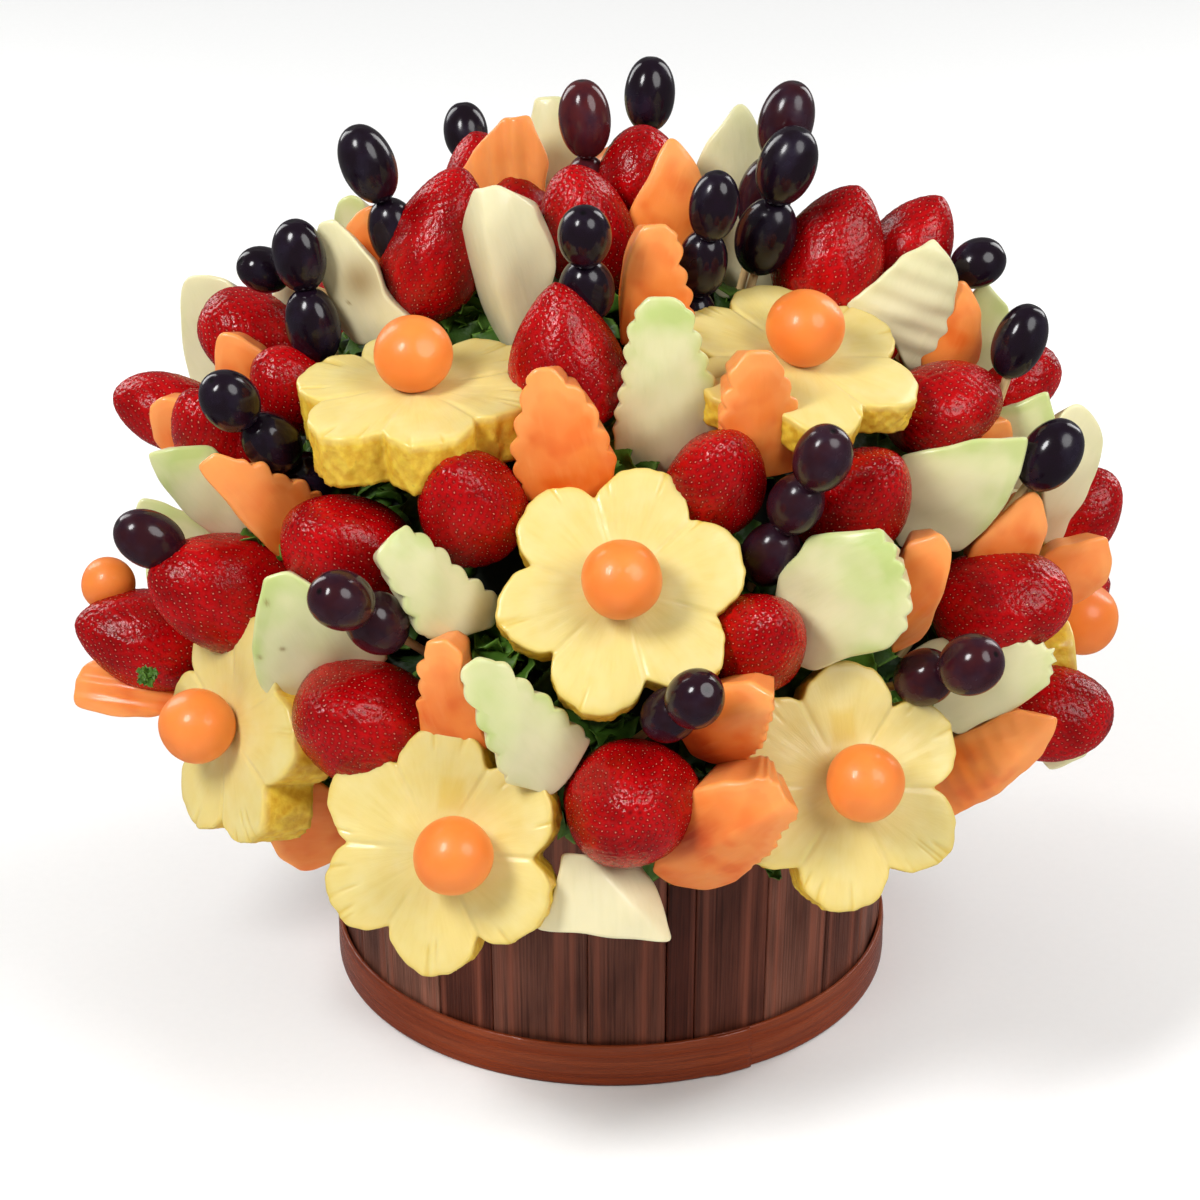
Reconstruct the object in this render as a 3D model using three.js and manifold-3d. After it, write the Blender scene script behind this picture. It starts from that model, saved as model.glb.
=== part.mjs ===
// Fruit bouquet in its basket: fruit on skewers in a dome of greens, over a round basket of bamboo staves.
// Millimetres, +Z up, the front faces -Y. The origin is the middle of the basket's base, on the ground.
import * as THREE from "three";
import { mergeVertices } from "three/addons/utils/BufferGeometryUtils.js";
import Module from "manifold-3d";

const wasm = await Module();
wasm.setup();

// ---- Driving dimensions ----
const GAP = 0.3;

const BASKET = { foot: 100, rim: 103, height: 104, wall: 3.4, step: 0.35 };
const HOOP = { outer: 103.6, thick: 2.2, height: 16.5, bulge: 0.8, steps: 30 };
const FLOOR = { thick: 6 };
// Widths of the staves in degrees, from a joint just left of the front, going right.
const FIRST_JOINT = -5;
const STAVES = [
  16, 6, 16, 17, 15, 17, 14, 19, 16, 18, 13, 17, 19, 15, 18, 12, 11, 14, 12, 14, 11, 17, 13, 20,
];

const GREENS = { clear: 0.98, reach: 142, waist: 140, top: 268, sides: 18, rows: 5, ruffle: 2.5 };
// Underside of the heap of greens beyond the brim: radius and height over the brim.
const SKIRT = [[112, 1], [132, 10]];

// Every skewer starts at the heart, inside the basket. heading turns right from the front, rise is the
// angle above the ground and reach is the distance from the heart, in degrees and millimetres.
const HEART = new THREE.Vector3(0, 0, 70);

const FLOWER = { reach: 41.5, petal: 15.4, petals: 6, thick: 16, arcSteps: 3 };
const BALL = { radius: 13, sink: 1.5, sides: 8, rows: 5 };
const STICK = { radius: 1.6, sides: 4, sunk: 60 };
const BERRY = { sides: 9, rows: 6, lead: 0.38, taper: 0.62, oval: 0.04 };
const GRAPE = { width: 18, length: 26, sink: 1.2, sides: 6, rows: 5 };
const SLICE = { crimp: 1.1, pitch: 9.3, crown: 0.14, inner: 0.5, tipThick: 0.65, melon: 85 };
const REAR = { radius: 180, middle: 135, back: 14, lean: 24, foot: 96, sides: 20, rows: 12, lump: 6 };

const COLOURS = {
  pineapple: 0xf0dc7c,
  strawberry: 0xb4120f,
  grape: 0x231a28,
  honeydew: 0xdfe0a8,
  cantaloupe: 0xf08436,
  greens: 0x24401c,
  staves: 0x5a3429,
  hoop: 0x7c4430,
};

// ---- Arrangement ----
// at: where the middle of the piece is, as [heading, rise, reach]. aim: where its tip or face looks, as
// [heading, rise]; without it, straight out along the skewer. thick: of a flower that differs from the rest.
const FLOWERS = [
  { at: [1, 46, 206], aim: [2, 40], turn: 14 },
  { at: [-19, 20, 189], aim: [-16, 23], turn: 33, ball: [8, -4.5] },
  { at: [27, 25, 188], aim: [15, 27], turn: 22, ball: [3, 0] },
  { at: [-37, 61, 223], aim: [-40, 84], turn: 20, thick: 19 },
  { at: [39, 64, 224], aim: [40, 74], turn: 5, thick: 12 },
  { at: [-50, 25, 188], aim: [-58, 16], turn: 15, thick: 20 },
  { at: [77, 27, 179], aim: [99, 5], turn: 0 },
];
// size: width and length. taper: how fast the berry draws in to its tip.
const BERRIES = [
  { at: [2, 26, 182], size: [44, 50] },
  { at: [-32, 31, 188], size: [45, 50], taper: 0.66 },
  { at: [19, 41, 194], size: [33, 46] },
  { at: [-40, 46, 202], size: [41, 50], aim: [-46, 39] },
  { at: [-22, 53, 208], size: [36, 48] },
  { at: [17, 56, 208], size: [33, 48] },
  { at: [39, 51, 206], size: [37, 50], aim: [36, 47] },
  { at: [-11, 68, 221], size: [41, 52], aim: [-60, 82], taper: 0.78 },
  { at: [-71, 74, 228], size: [38, 56], aim: [100, 70], taper: 0.6 },
  { at: [-27, 85, 225], size: [35, 48], aim: [-60, 72], taper: 0.62 },
  { at: [73, 70, 231], size: [38, 50], aim: [100, 70] },
  { at: [-87, 55, 218], size: [34, 42], aim: [-84, 34], taper: 0.44 },
  { at: [-57, 37, 199], size: [42, 54], aim: [-66, 25] },
  { at: [-72, 26, 192], size: [37, 50], aim: [-78, 23] },
  { at: [61, 54, 218], size: [34, 41], aim: [110, 12], taper: 0.46 },
  { at: [56, 36, 197], size: [38, 48], aim: [78, 12], taper: 0.46 },
  { at: [62, 22, 186], size: [35, 42], aim: [62, 4], taper: 0.46 },
];
// count: grapes on the skewer; at: the middle of the outermost grape.
const GRAPES = [
  { at: [164, 79, 254], count: 2, size: [18, 27] },
  { at: [-134, 87, 254], count: 2, size: [18, 28] },
  { at: [59, 75, 262], count: 2, size: [20, 29] },
  { at: [30, 75, 256], count: 3, size: [17, 25] },
  { at: [-7, 72, 257], count: 2, size: [18, 24] },
  { at: [-77, 71, 262], count: 2, size: [19, 29] },
  { at: [-68, 63, 251], count: 3, size: [18, 26], aim: [-120, 80] },
  { at: [-55, 51, 245], count: 3, size: [19, 25] },
  { at: [-29, 40, 234], count: 2, size: [20, 25], aim: [-33, 40] },
  { at: [8, 35, 223], count: 2, size: [19, 24], aim: [24, 40] },
  { at: [27, 52, 241], count: 3, size: [19, 25], aim: [45, 62] },
  { at: [72, 53, 242], count: 1, size: [18, 27], aim: [112, 72] },
  { at: [61, 45, 237], count: 1, size: [20, 27], aim: [98, 56] },
  { at: [39, 33, 222], count: 2, size: [20, 24], aim: [45, 31] },
];
// size: width, length and thickness. face: where the peeled outer face looks. rim: corners of that face,
// across and along. crimp: which of its sides the ripple cutter made. crest: where the face is folded
// along its length, how steeply, and by how much the fold is turned.
const HONEYDEWS = [
  { at: [11, 65, 220], aim: [-20, 86], face: [0, 10], size: [37, 68, 24], pitch: 7.5,
    crimp: [2, 3, 4, 8, 9, 10],
    rim: [[6, 33], [-3, 33], [-7, 29], [-11, 17], [-15, 2], [-18, -14], [-16, -35], [18, -34],
      [18, -15], [14, 3], [13, 17], [10, 28]] },
  { at: [-38, 76, 228], aim: [-105, 74], face: [-20, 10], size: [28, 60, 26], crest: [2, 0.42, 4],
    rim: [[3, 30], [-5, 30], [-9, 25], [-13, 18], [-14, 7], [-14, -5], [-10, -15], [2, -29], [11, -29],
      [29, -29], [32, -17], [31, -5], [17, 13], [7, 24]] },
  { at: [31, 43, 203], aim: [72, 40], face: [30, 40], size: [44, 56, 24], pitch: 6.8,
    crimp: [4, 5, 6, 7],
    rim: [[17, -13], [19, -3], [22, 3], [17, 16], [13, 25], [5, 27], [-3, 26], [-13, 22], [-21, 14],
      [-23, 7], [-19, -7], [-16, -22], [-8, -29], [8, -23]] },
  { at: [56, 48, 211], aim: [82, 38], face: [20, 20], size: [40, 60, 22],
    rim: [[21, -9], [18, 1], [12, 15], [2, 30], [-7, 21], [-12, 12], [-17, -1], [-19, -14], [-7, -30],
      [11, -25]] },
  { at: [73, 63, 230], aim: [100, 66], face: [20, 20], size: [41, 48, 22],
    rim: [[21, -9], [16, 0], [13, 8], [11, 14], [5, 20], [2, 24], [-5, 20], [-12, 14], [-16, 2],
      [-20, -11], [-20, -19], [-11, -24], [-2, -16], [12, -14]] },
  { at: [-25, 44, 206], aim: [-72, 50], face: [10, 30], size: [26, 53, 22], pitch: 8.5,
    crimp: [2, 3, 4, 8, 9, 10],
    rim: [[1, 26], [-6, 25], [-11, 22], [-13, 12], [-13, -4], [-15, -24], [-7, -27], [7, -16], [12, -8],
      [8, 6], [6, 17], [4, 24]] },
  { at: [-12, 33, 199], aim: [-72, 50], face: [0, 25], size: [29, 59, 22], pitch: 9,
    crimp: [2, 3, 4, 8, 9, 10],
    rim: [[-4, 30], [-11, 29], [-14, 22], [-15, 8], [-16, -7], [-16, -25], [-3, -28], [6, -28],
      [13, -11], [7, 6], [2, 19], [-1, 27]] },
  { at: [-41, 37, 197], aim: [-75, 60], face: [-25, 30], size: [44, 55, 20],
    rim: [[-3, 29], [-11, 27], [-16, 20], [-21, 6], [-23, -19], [-5, -23], [18, -26], [21, -19],
      [20, -7], [14, 8], [4, 21]] },
  { at: [-2, 16, 171], aim: [-170, 68], face: [5, 20], size: [45, 33, 20],
    rim: [[11, 15], [0, 13], [-15, 8], [-20, 1], [-23, -9], [-24, -18], [0, -14], [21, -10], [15, -2],
      [13, 7]] },
];
const CANTALOUPES = [
  { at: [-9, 60, 220], aim: [-70, 78], face: [-5, 15], size: [33, 54, 24], pitch: 9.5,
    crimp: [2, 3, 4, 7, 8, 9],
    rim: [[3, 26], [-3, 25], [-6, 20], [-12, 11], [-15, -2], [-16, -14], [-12, -28], [17, -23],
      [16, -2], [10, 13], [7, 23]] },
  { at: [15, 75, 230], aim: [90, 80], face: [10, 15], size: [27, 47, 24], pitch: 8.5, crimp: [2, 3, 4],
    rim: [[10, 20], [3, 23], [-2, 19], [-4, 10], [-8, 2], [-13, -10], [-14, -21], [10, -24], [13, -7],
      [13, 11]] },
  { at: [24, 60, 225], aim: [-20, 84], face: [20, 15], size: [29, 50, 20], pitch: 8,
    crimp: [2, 3, 7, 8],
    rim: [[3, 24], [-4, 23], [-8, 15], [-11, 6], [-15, -6], [-16, -27], [9, -23], [14, -6], [13, 9],
      [9, 19]] },
  { at: [-55, 47, 212], aim: [-74, 52], face: [0, 30], size: [25, 52, 22], pitch: 8.5,
    crimp: [2, 3, 4, 5],
    rim: [[9, 25], [2, 25], [-2, 17], [-7, 11], [-8, 2], [-12, -5], [-13, -16], [-7, -26], [11, -23],
      [12, -5], [11, 12], [10, 20]] },
  { at: [-20, 36, 192], aim: [-72, 76], face: [-20, 10], size: [26, 49, 22], pitch: 8,
    crimp: [8, 9, 10],
    rim: [[0, 24], [-7, 24], [-11, 17], [-9, 9], [-11, -2], [-11, -19], [-3, -24], [16, -27], [9, -2],
      [5, 6], [5, 13], [1, 19]] },
  { at: [15, 34, 192], aim: [60, 36], face: [10, 20], size: [29, 45, 22],
    rim: [[14, -8], [14, 5], [10, 16], [3, 22], [-4, 16], [-12, 4], [-15, -8], [-12, -20], [-5, -24],
      [6, -19]] },
  { at: [13, 23, 184], aim: [70, 40], face: [10, 10], size: [38, 60, 24],
    rim: [[19, 2], [17, 13], [13, 20], [12, 25], [7, 29], [-6, 27], [-9, 17], [-14, 9], [-16, -3],
      [-19, -14], [-17, -27], [-8, -32], [3, -31], [15, -15]] },
  { at: [50, 22, 181], aim: [80, 34], face: [35, 20], size: [26, 57, 22], crest: [-4, 0.4, -20],
    rim: [[12, -8], [13, 2], [13, 12], [12, 19], [4, 29], [-1, 25], [-6, 18], [-8, 11], [-12, -6],
      [-12, -16], [-13, -24], [-4, -29], [7, -20]] },
];

// ---- Solids ----
const rad = THREE.MathUtils.degToRad;
const vec = (x, y, z) => new THREE.Vector3(x, y, z);

// Unit vector at a heading and a rise.
function direction(heading, rise) {
  const flat = Math.cos(rad(rise));
  return vec(flat * Math.sin(rad(heading)), -flat * Math.cos(rad(heading)), Math.sin(rad(rise)));
}

// Manifold of a closed geometry, turned right side out.
function solidOf(geometry) {
  const bare = geometry.index ? geometry.toNonIndexed() : geometry.clone();
  bare.deleteAttribute("normal");
  bare.deleteAttribute("uv");
  const merged = mergeVertices(bare, 1e-3);
  const triVerts = [];
  const index = merged.index.array;
  for (let i = 0; i < index.length; i += 3) {
    const [a, b, c] = [index[i], index[i + 1], index[i + 2]];
    if (a !== b && b !== c && c !== a) triVerts.push(a, b, c);
  }
  const vertProperties = new Float32Array(merged.attributes.position.array);
  const made = (tris) => new wasm.Manifold(new wasm.Mesh({ numProp: 3, vertProperties, triVerts: tris }));
  const solid = made(new Uint32Array(triVerts));
  return solid.volume() > 0 ? solid : made(new Uint32Array(triVerts.reverse()));
}

function meshOf(name, solid, colour, roughness) {
  const { vertProperties, triVerts } = solid.getMesh();
  const geometry = new THREE.BufferGeometry();
  geometry.setAttribute("position", new THREE.BufferAttribute(new Float32Array(vertProperties), 3));
  geometry.setIndex(new THREE.BufferAttribute(new Uint32Array(triVerts), 1));
  geometry.computeVertexNormals();
  const mesh = new THREE.Mesh(geometry, new THREE.MeshStandardMaterial({ color: colour, roughness }));
  mesh.name = name;
  return mesh;
}

// Moves every vertex of a geometry by a function that changes it in place.
function reshape(geometry, change) {
  const place = geometry.attributes.position;
  const point = vec(0, 0, 0);
  for (let i = 0; i < place.count; i += 1) {
    change(point.fromBufferAttribute(place, i));
    place.setXYZ(i, point.x, point.y, point.z);
  }
  return geometry;
}

// Frame of a piece: its +Z along aim, its +Y as near to face as that allows, its origin at the place named.
function frameAt({ at, aim, face, turn = 0 }) {
  const z = direction(...(aim ?? at));
  const up = face ? direction(...face) : vec(0, 0, 1);
  const x = vec(0, 0, 0).crossVectors(up, z).normalize();
  const y = vec(0, 0, 0).crossVectors(z, x);
  const place = direction(at[0], at[1]).multiplyScalar(at[2]).add(HEART);
  return new THREE.Matrix4()
    .makeBasis(x, y, z)
    .setPosition(place)
    .multiply(new THREE.Matrix4().makeRotationZ(rad(turn)));
}

// Solid of revolution about +Z of a profile of [radius, height] pairs.
function turned(profile, sides) {
  const points = profile.map(([r, h]) => new THREE.Vector2(r, h));
  return new THREE.LatheGeometry(points, sides).rotateX(Math.PI / 2);
}

function ball(radius, sides, rows) {
  return new THREE.SphereGeometry(radius, sides, rows).rotateX(Math.PI / 2);
}

// Skewer from the piece's own origin back towards the heart.
function stick(length, grow) {
  const rod = new THREE.CylinderGeometry(STICK.radius + grow, STICK.radius + grow, length, STICK.sides);
  return solidOf(rod.rotateX(Math.PI / 2).translate(0, 0, -length / 2));
}

// Slab with six round petals cut from a pineapple slice, its melon ball pressed on, and the skewer behind.
function flower(grow, item) {
  const petal = FLOWER.petal + grow;
  const centre = FLOWER.reach - FLOWER.petal;
  const half = Math.PI / FLOWER.petals;
  const notch = centre * Math.cos(half) + Math.sqrt(petal ** 2 - (centre * Math.sin(half)) ** 2);
  const span = Math.atan2(notch * Math.sin(half), notch * Math.cos(half) - centre);
  const outline = new THREE.Shape();
  for (let i = 0; i < FLOWER.petals; i += 1) {
    const a = 2 * half * i;
    outline.absarc(centre * Math.cos(a), centre * Math.sin(a), petal, a - span, a + span);
  }
  const thick = item.thick ?? FLOWER.thick;
  const depth = thick + 2 * grow;
  const cut = { depth, bevelEnabled: false, curveSegments: FLOWER.arcSteps };
  const slab = new THREE.ExtrudeGeometry(outline, cut);
  const [x, y] = item.ball ?? [0, 0];
  const melon = ball(BALL.radius + grow, BALL.sides, BALL.rows).translate(x, y, BALL.radius - BALL.sink);
  const face = solidOf(slab.translate(0, 0, -thick - grow)).add(solidOf(melon));
  return face.add(stick(item.at[2] - STICK.sunk, grow));
}

// Berry: its radius goes as t^lead (1 - t)^taper from the leaf end to the tip, and it is a little oval.
function berry(grow, { size: [width, length], taper = BERRY.taper }) {
  const bulge = (t) => t ** BERRY.lead * (1 - t) ** taper;
  const widest = bulge(BERRY.lead / (BERRY.lead + taper));
  const profile = [];
  for (let i = 0; i <= BERRY.rows; i += 1) {
    const t = (1 - Math.cos((i / BERRY.rows) * Math.PI)) / 2;
    const r = ((width / 2 + grow) * bulge(t)) / widest;
    profile.push([i % BERRY.rows ? r : 0, (t - 0.5) * (length + 2 * grow)]);
  }
  return solidOf(reshape(turned(profile, BERRY.sides), (p) => {
    p.x *= 1 + BERRY.oval;
    p.y *= 1 - BERRY.oval;
  }));
}

// Oval grapes end to end on a skewer, each pressed a little into the next.
function grapes(grow, { at, count, size = [GRAPE.width, GRAPE.length] }) {
  const [width, length] = size;
  let row = stick(at[2] - STICK.sunk, grow);
  for (let i = 0; i < count; i += 1) {
    const half = width / 2 + grow;
    const grape = ball(1, GRAPE.sides, GRAPE.rows).scale(half, half, length / 2 + grow);
    row = row.add(solidOf(grape.translate(0, 0, -i * (length - GRAPE.sink))));
  }
  return row;
}

// Outline of a slice's peeled face: its corners, with crests and hollows along each side that is crimped.
function sliceOutline(rim, crimp, pitch) {
  const outline = [];
  rim.forEach(([x, z], i) => {
    const [nextX, nextZ] = rim[(i + 1) % rim.length];
    const long = Math.hypot(nextX - x, nextZ - z);
    outline.push([x, z]);
    if (!crimp.includes(i)) return;
    const parts = Math.max(2, 2 * Math.round(long / pitch));
    for (let k = 1; k < parts; k += 1) {
      const wave = (k % 2 ? SLICE.crimp : -SLICE.crimp) / long;
      const t = k / parts;
      outline.push([
        x + (nextX - x) * t - (nextZ - z) * wave,
        z + (nextZ - z) * t + (nextX - x) * wave,
      ]);
    }
  });
  return outline;
}

// Closed skin over rings of points, with an end drawn in to a point before the first and after the last.
function skin(rings, first, last) {
  const points = rings.flat();
  const count = rings[0].length;
  const index = [];
  for (let j = 0; j < count; j += 1) {
    const k = (j + 1) % count;
    index.push(points.length, k, j);
    for (let i = 0; i + 1 < rings.length; i += 1) {
      const [a, b, c, d] = [i * count + j, i * count + k, (i + 1) * count + j, (i + 1) * count + k];
      index.push(a, b, d, a, d, c);
    }
    index.push(points.length + 1, (rings.length - 1) * count + j, (rings.length - 1) * count + k);
  }
  const geometry = new THREE.BufferGeometry().setFromPoints([...points, first, last]);
  return geometry.setIndex(index);
}

// Melon slice: a crowned outer face on its outline, sides drawn in to a narrow inner face, thinner towards
// the tip and bowed like the melon it came from. A crest folds the face along a line.
function slice(grow, item) {
  const { rim, size: [width, length, thick], crimp = [], pitch = SLICE.pitch, crest = [0, 0, 0] } = item;
  const outline = sliceOutline(rim, crimp, pitch);
  const midX = outline.reduce((sum, [x]) => sum + x, 0) / outline.length;
  const midZ = outline.reduce((sum, [, z]) => sum + z, 0) / outline.length;
  const [foldAt, fold, foldTurn] = crest;
  const face = (x, z) => {
    const across = x * Math.cos(rad(foldTurn)) + z * Math.sin(rad(foldTurn)) - foldAt;
    const bow = z ** 2 / (2 * SLICE.melon) + SLICE.crown * thick * ((2 * x) / width) ** 2;
    return thick / 2 + grow - bow - fold * Math.abs(across);
  };
  const place = (x, z, depth) => {
    const tipward = THREE.MathUtils.clamp(z / length + 0.5, 0, 1);
    const deep = thick * (1 - (1 - SLICE.tipThick) * tipward ** 2) + 2 * grow;
    const [inX, inZ] = [1 - (1 - SLICE.inner) * depth, 1 - 0.28 * depth];
    return vec(midX + (x - midX) * inX, face(x, z) - deep * depth, midZ + (z - midZ) * inZ);
  };
  const ring = (share, depth) => outline.map(([x, z]) => {
    const [armX, armZ] = [x - midX, z - midZ];
    const reach = share * (1 + grow / Math.hypot(armX, armZ));
    return place(midX + armX * reach, midZ + armZ * reach, depth);
  });
  return solidOf(skin([ring(0.5, 0), ring(1, 0), ring(1, 1)], place(midX, midZ, 0), place(midX, midZ, 1)));
}

// Outline of the staves at their foot, stepped by a little from each to the next.
function staveOutline(radius, step) {
  const outline = [];
  let heading = FIRST_JOINT;
  STAVES.forEach((width, i) => {
    const out = radius + (i % 2 ? step : 0);
    for (const side of [heading, heading + width]) {
      outline.push(new THREE.Vector2(out * Math.sin(rad(side)), -out * Math.cos(rad(side))));
    }
    heading += width;
  });
  return outline;
}

// Inside of the wall: one corner at each joint between staves.
const insideOutline = (radius) => staveOutline(radius, 0).filter((_, i) => i % 2 === 0);

// Ring of flat staves, flared towards the rim.
function staves(grow) {
  const wall = new THREE.Shape(staveOutline(BASKET.foot + grow, BASKET.step));
  wall.holes.push(new THREE.Path(insideOutline(BASKET.foot - BASKET.wall - grow)));
  const ring = new THREE.ExtrudeGeometry(wall, { depth: BASKET.height + grow, bevelEnabled: false });
  const flare = (BASKET.rim - BASKET.foot) / BASKET.height;
  return solidOf(reshape(ring, (p) => {
    const wider = 1 + (flare * p.z) / Math.hypot(p.x, p.y);
    p.set(p.x * wider, p.y * wider, p.z);
  }));
}

// Bent bamboo band round the foot of the staves, a little fuller at mid-height.
function hoop() {
  const inner = HOOP.outer - HOOP.thick;
  const side = HOOP.outer - HOOP.bulge;
  const top = HOOP.height;
  const band = [[inner, 0], [side, 0], [HOOP.outer, top / 2], [side, top], [inner, top], [inner, 0]];
  return solidOf(turned(band, HOOP.steps));
}

// Flat board that closes the foot of the wall. The bouquet rests on it, the hoop and the staves.
function floor() {
  const board = new THREE.Shape(insideOutline(BASKET.foot - BASKET.wall - GAP));
  return solidOf(new THREE.ExtrudeGeometry(board, { depth: FLOOR.thick, bevelEnabled: false }));
}

// Greens packed in the basket and heaped over its rim, ruffled like leaves.
function greens(grow) {
  const inside = (BASKET.foot - BASKET.wall) * GREENS.clear + grow;
  const low = FLOOR.thick + GAP - grow;
  const brim = BASKET.height + GAP - grow;
  const skirt = SKIRT.map(([r, h]) => [r, brim + h]);
  const profile = [[0, low], [inside - 1, low], [inside + 1, brim], ...skirt];
  for (let i = 0; i <= GREENS.rows; i += 1) {
    const a = (i / GREENS.rows) * (Math.PI / 2);
    const height = GREENS.top - GREENS.waist + grow;
    profile.push([(GREENS.reach + grow) * Math.cos(a), GREENS.waist + height * Math.sin(a)]);
  }
  profile[profile.length - 1][0] = 0;
  return solidOf(reshape(turned(profile, GREENS.sides), (p) => {
    if (p.z < brim + 5) return;
    const a = Math.atan2(p.y, p.x);
    const wave = Math.sin(5 * a + p.z / 14) * Math.sin(3 * a - p.z / 22);
    const ruffle = 1 + (GREENS.ruffle / GREENS.reach) * wave;
    p.set(p.x * ruffle, p.y * ruffle, p.z);
  }));
}

// Uneven heap of the fruit at the back, which is not stated piece by piece.
function rear() {
  const heap = reshape(ball(1, REAR.sides, REAR.rows), (p) => {
    const a = Math.atan2(p.y, p.x);
    const b = Math.asin(THREE.MathUtils.clamp(p.z, -1, 1));
    const lump = Math.cos(b) * Math.sin(7 * a + 2) * Math.cos(6 * b) + Math.sin(5 * b);
    p.multiplyScalar(REAR.radius + REAR.lump * lump);
    p.z += REAR.middle;
  });
  const wide = 4 * REAR.radius;
  const front = new THREE.BoxGeometry(wide, wide, wide).translate(0, -wide / 2, 0).rotateX(rad(-REAR.lean));
  const below = new THREE.BoxGeometry(wide, wide, wide).translate(0, 0, REAR.foot - wide / 2);
  return solidOf(heap)
    .subtract(solidOf(front.translate(0, REAR.back, REAR.middle)))
    .subtract(solidOf(below));
}

// ---- Assembly ----
const largest = (solid) => solid.decompose().sort((a, b) => b.volume() - a.volume())[0];

function meets(a, b) {
  const [p, q] = [a.boundingBox(), b.boundingBox()];
  return [0, 1, 2].every((k) => p.min[k] < q.max[k] && q.min[k] < p.max[k]);
}

// What a further piece has to keep clear of: everything set out before it, grown by the gap.
const taken = [staves(GAP), greens(GAP)];

// Group of like pieces, each placed in its own frame and hollowed where its neighbours press into it.
function setOut(name, items, shape, colour, roughness) {
  const group = new THREE.Group();
  items.forEach((item, i) => {
    const place = frameAt(item);
    const placed = (grow) => shape(grow, item).transform([...place.elements]);
    let solid = placed(0);
    for (const other of taken) if (meets(solid, other)) solid = solid.subtract(other);
    const own = largest(solid).transform([...place.clone().invert().elements]);
    const mesh = meshOf(`${name}_${String(i + 1).padStart(2, "0")}`, own, colour, roughness);
    mesh.applyMatrix4(place);
    group.add(mesh);
    taken.push(placed(GAP));
  });
  return group;
}

const basket = new THREE.Group();
basket.add(meshOf("basket_staves", staves(0), COLOURS.staves, 0.6));
basket.add(meshOf("basket_hoop", hoop(), COLOURS.hoop, 0.35));
basket.add(meshOf("basket_floor", floor(), COLOURS.staves, 0.7));

const bouquet = new THREE.Group();
bouquet.name = "fruit_bouquet";
bouquet.add(basket);
bouquet.add(meshOf("greens_bed", greens(0), COLOURS.greens, 0.8));
bouquet.add(setOut("pineapple_flower", FLOWERS, flower, COLOURS.pineapple, 0.4));
bouquet.add(setOut("strawberry", BERRIES, berry, COLOURS.strawberry, 0.3));
bouquet.add(setOut("honeydew", HONEYDEWS, slice, COLOURS.honeydew, 0.4));
bouquet.add(setOut("cantaloupe", CANTALOUPES, slice, COLOURS.cantaloupe, 0.4));
bouquet.add(setOut("grape_skewer", GRAPES, grapes, COLOURS.grape, 0.25));
const heap = taken.reduce((solid, other) => solid.subtract(other), rear());
bouquet.add(meshOf("rear_fruit", largest(heap), COLOURS.cantaloupe, 0.5));

export default bouquet;
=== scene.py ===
"""Looks of a fruit bouquet in its bamboo basket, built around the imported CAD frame.

Shapes are worked out in millimetres with numpy and brought to metres when a mesh is made. Every piece of
fruit has a frame of its own: +Z looks out along its skewer or to its tip, and its place is a heading to the
right of the front, a rise above the ground and a reach from the heart of the basket.
"""
import functools
import math

import bpy
import numpy as np
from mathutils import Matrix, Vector


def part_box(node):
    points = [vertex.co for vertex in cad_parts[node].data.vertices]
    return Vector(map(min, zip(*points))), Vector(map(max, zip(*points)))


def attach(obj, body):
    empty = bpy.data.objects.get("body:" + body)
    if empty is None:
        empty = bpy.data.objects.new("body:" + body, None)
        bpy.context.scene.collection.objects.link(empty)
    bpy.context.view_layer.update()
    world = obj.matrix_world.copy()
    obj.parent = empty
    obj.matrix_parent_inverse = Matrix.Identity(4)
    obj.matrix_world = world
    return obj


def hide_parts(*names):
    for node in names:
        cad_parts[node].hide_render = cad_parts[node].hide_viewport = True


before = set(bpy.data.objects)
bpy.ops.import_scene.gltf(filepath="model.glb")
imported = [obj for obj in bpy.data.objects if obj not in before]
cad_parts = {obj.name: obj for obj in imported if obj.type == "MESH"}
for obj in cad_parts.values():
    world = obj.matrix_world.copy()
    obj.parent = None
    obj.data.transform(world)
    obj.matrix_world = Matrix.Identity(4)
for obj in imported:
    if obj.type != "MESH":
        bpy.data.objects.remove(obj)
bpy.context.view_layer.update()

bl_info = {
    "name": "Fruit Bouquet",
    "version": (1, 0, 0),
    "blender": (4, 5, 0),
    "location": "3D View > Sidebar > Bouquet",
    "description": "Cut fruit on skewers over greens in a bamboo basket, with its materials and studio",
    "category": "Object",
}

MM = 0.001
TURN = 2 * math.pi
GOLDEN = math.pi * (3 - math.sqrt(5))
HEART = np.array([0.0, 0.0, 70.0])
SKEWER_END = 60         # a skewer's inner end, as a reach from the heart
SHOULDER = 140          # height at which the heap of greens is widest
COARSE_WEDGE = {"cols": 100, "rows": (14, 6)}     # how finely a wedge is made that shows little
SLACK = 0.01            # metres a CAD node's middle may lie outside the piece that stands for it
PATTERN_STEP = 170.0    # how far apart two pieces take their pattern from the same noise
LIGHT_REACH = 1.25      # metres from the aim to each softbox

# Widths of the staves in degrees, from a joint just left of the front, going right.
FIRST_JOINT = -5
STAVES = [16, 6, 16, 17, 15, 17, 14, 19, 16, 18, 13, 17, 19, 15, 18, 12, 11, 14, 12, 14, 11, 17, 13, 20]
# Tone of each stave from the darkest, 0, to the palest, 1.
STAVE_TONES = [0.3, 0.05, 0.15, 0.5, 0.25, 0.7, 0.4, 0.9, 0.2, 0.6, 0.3, 0.8,
               0.5, 0.1, 0.7, 0.4, 0.2, 0.9, 0.5, 0.3, 0.65, 1.0, 0.1, 0.4]


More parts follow.
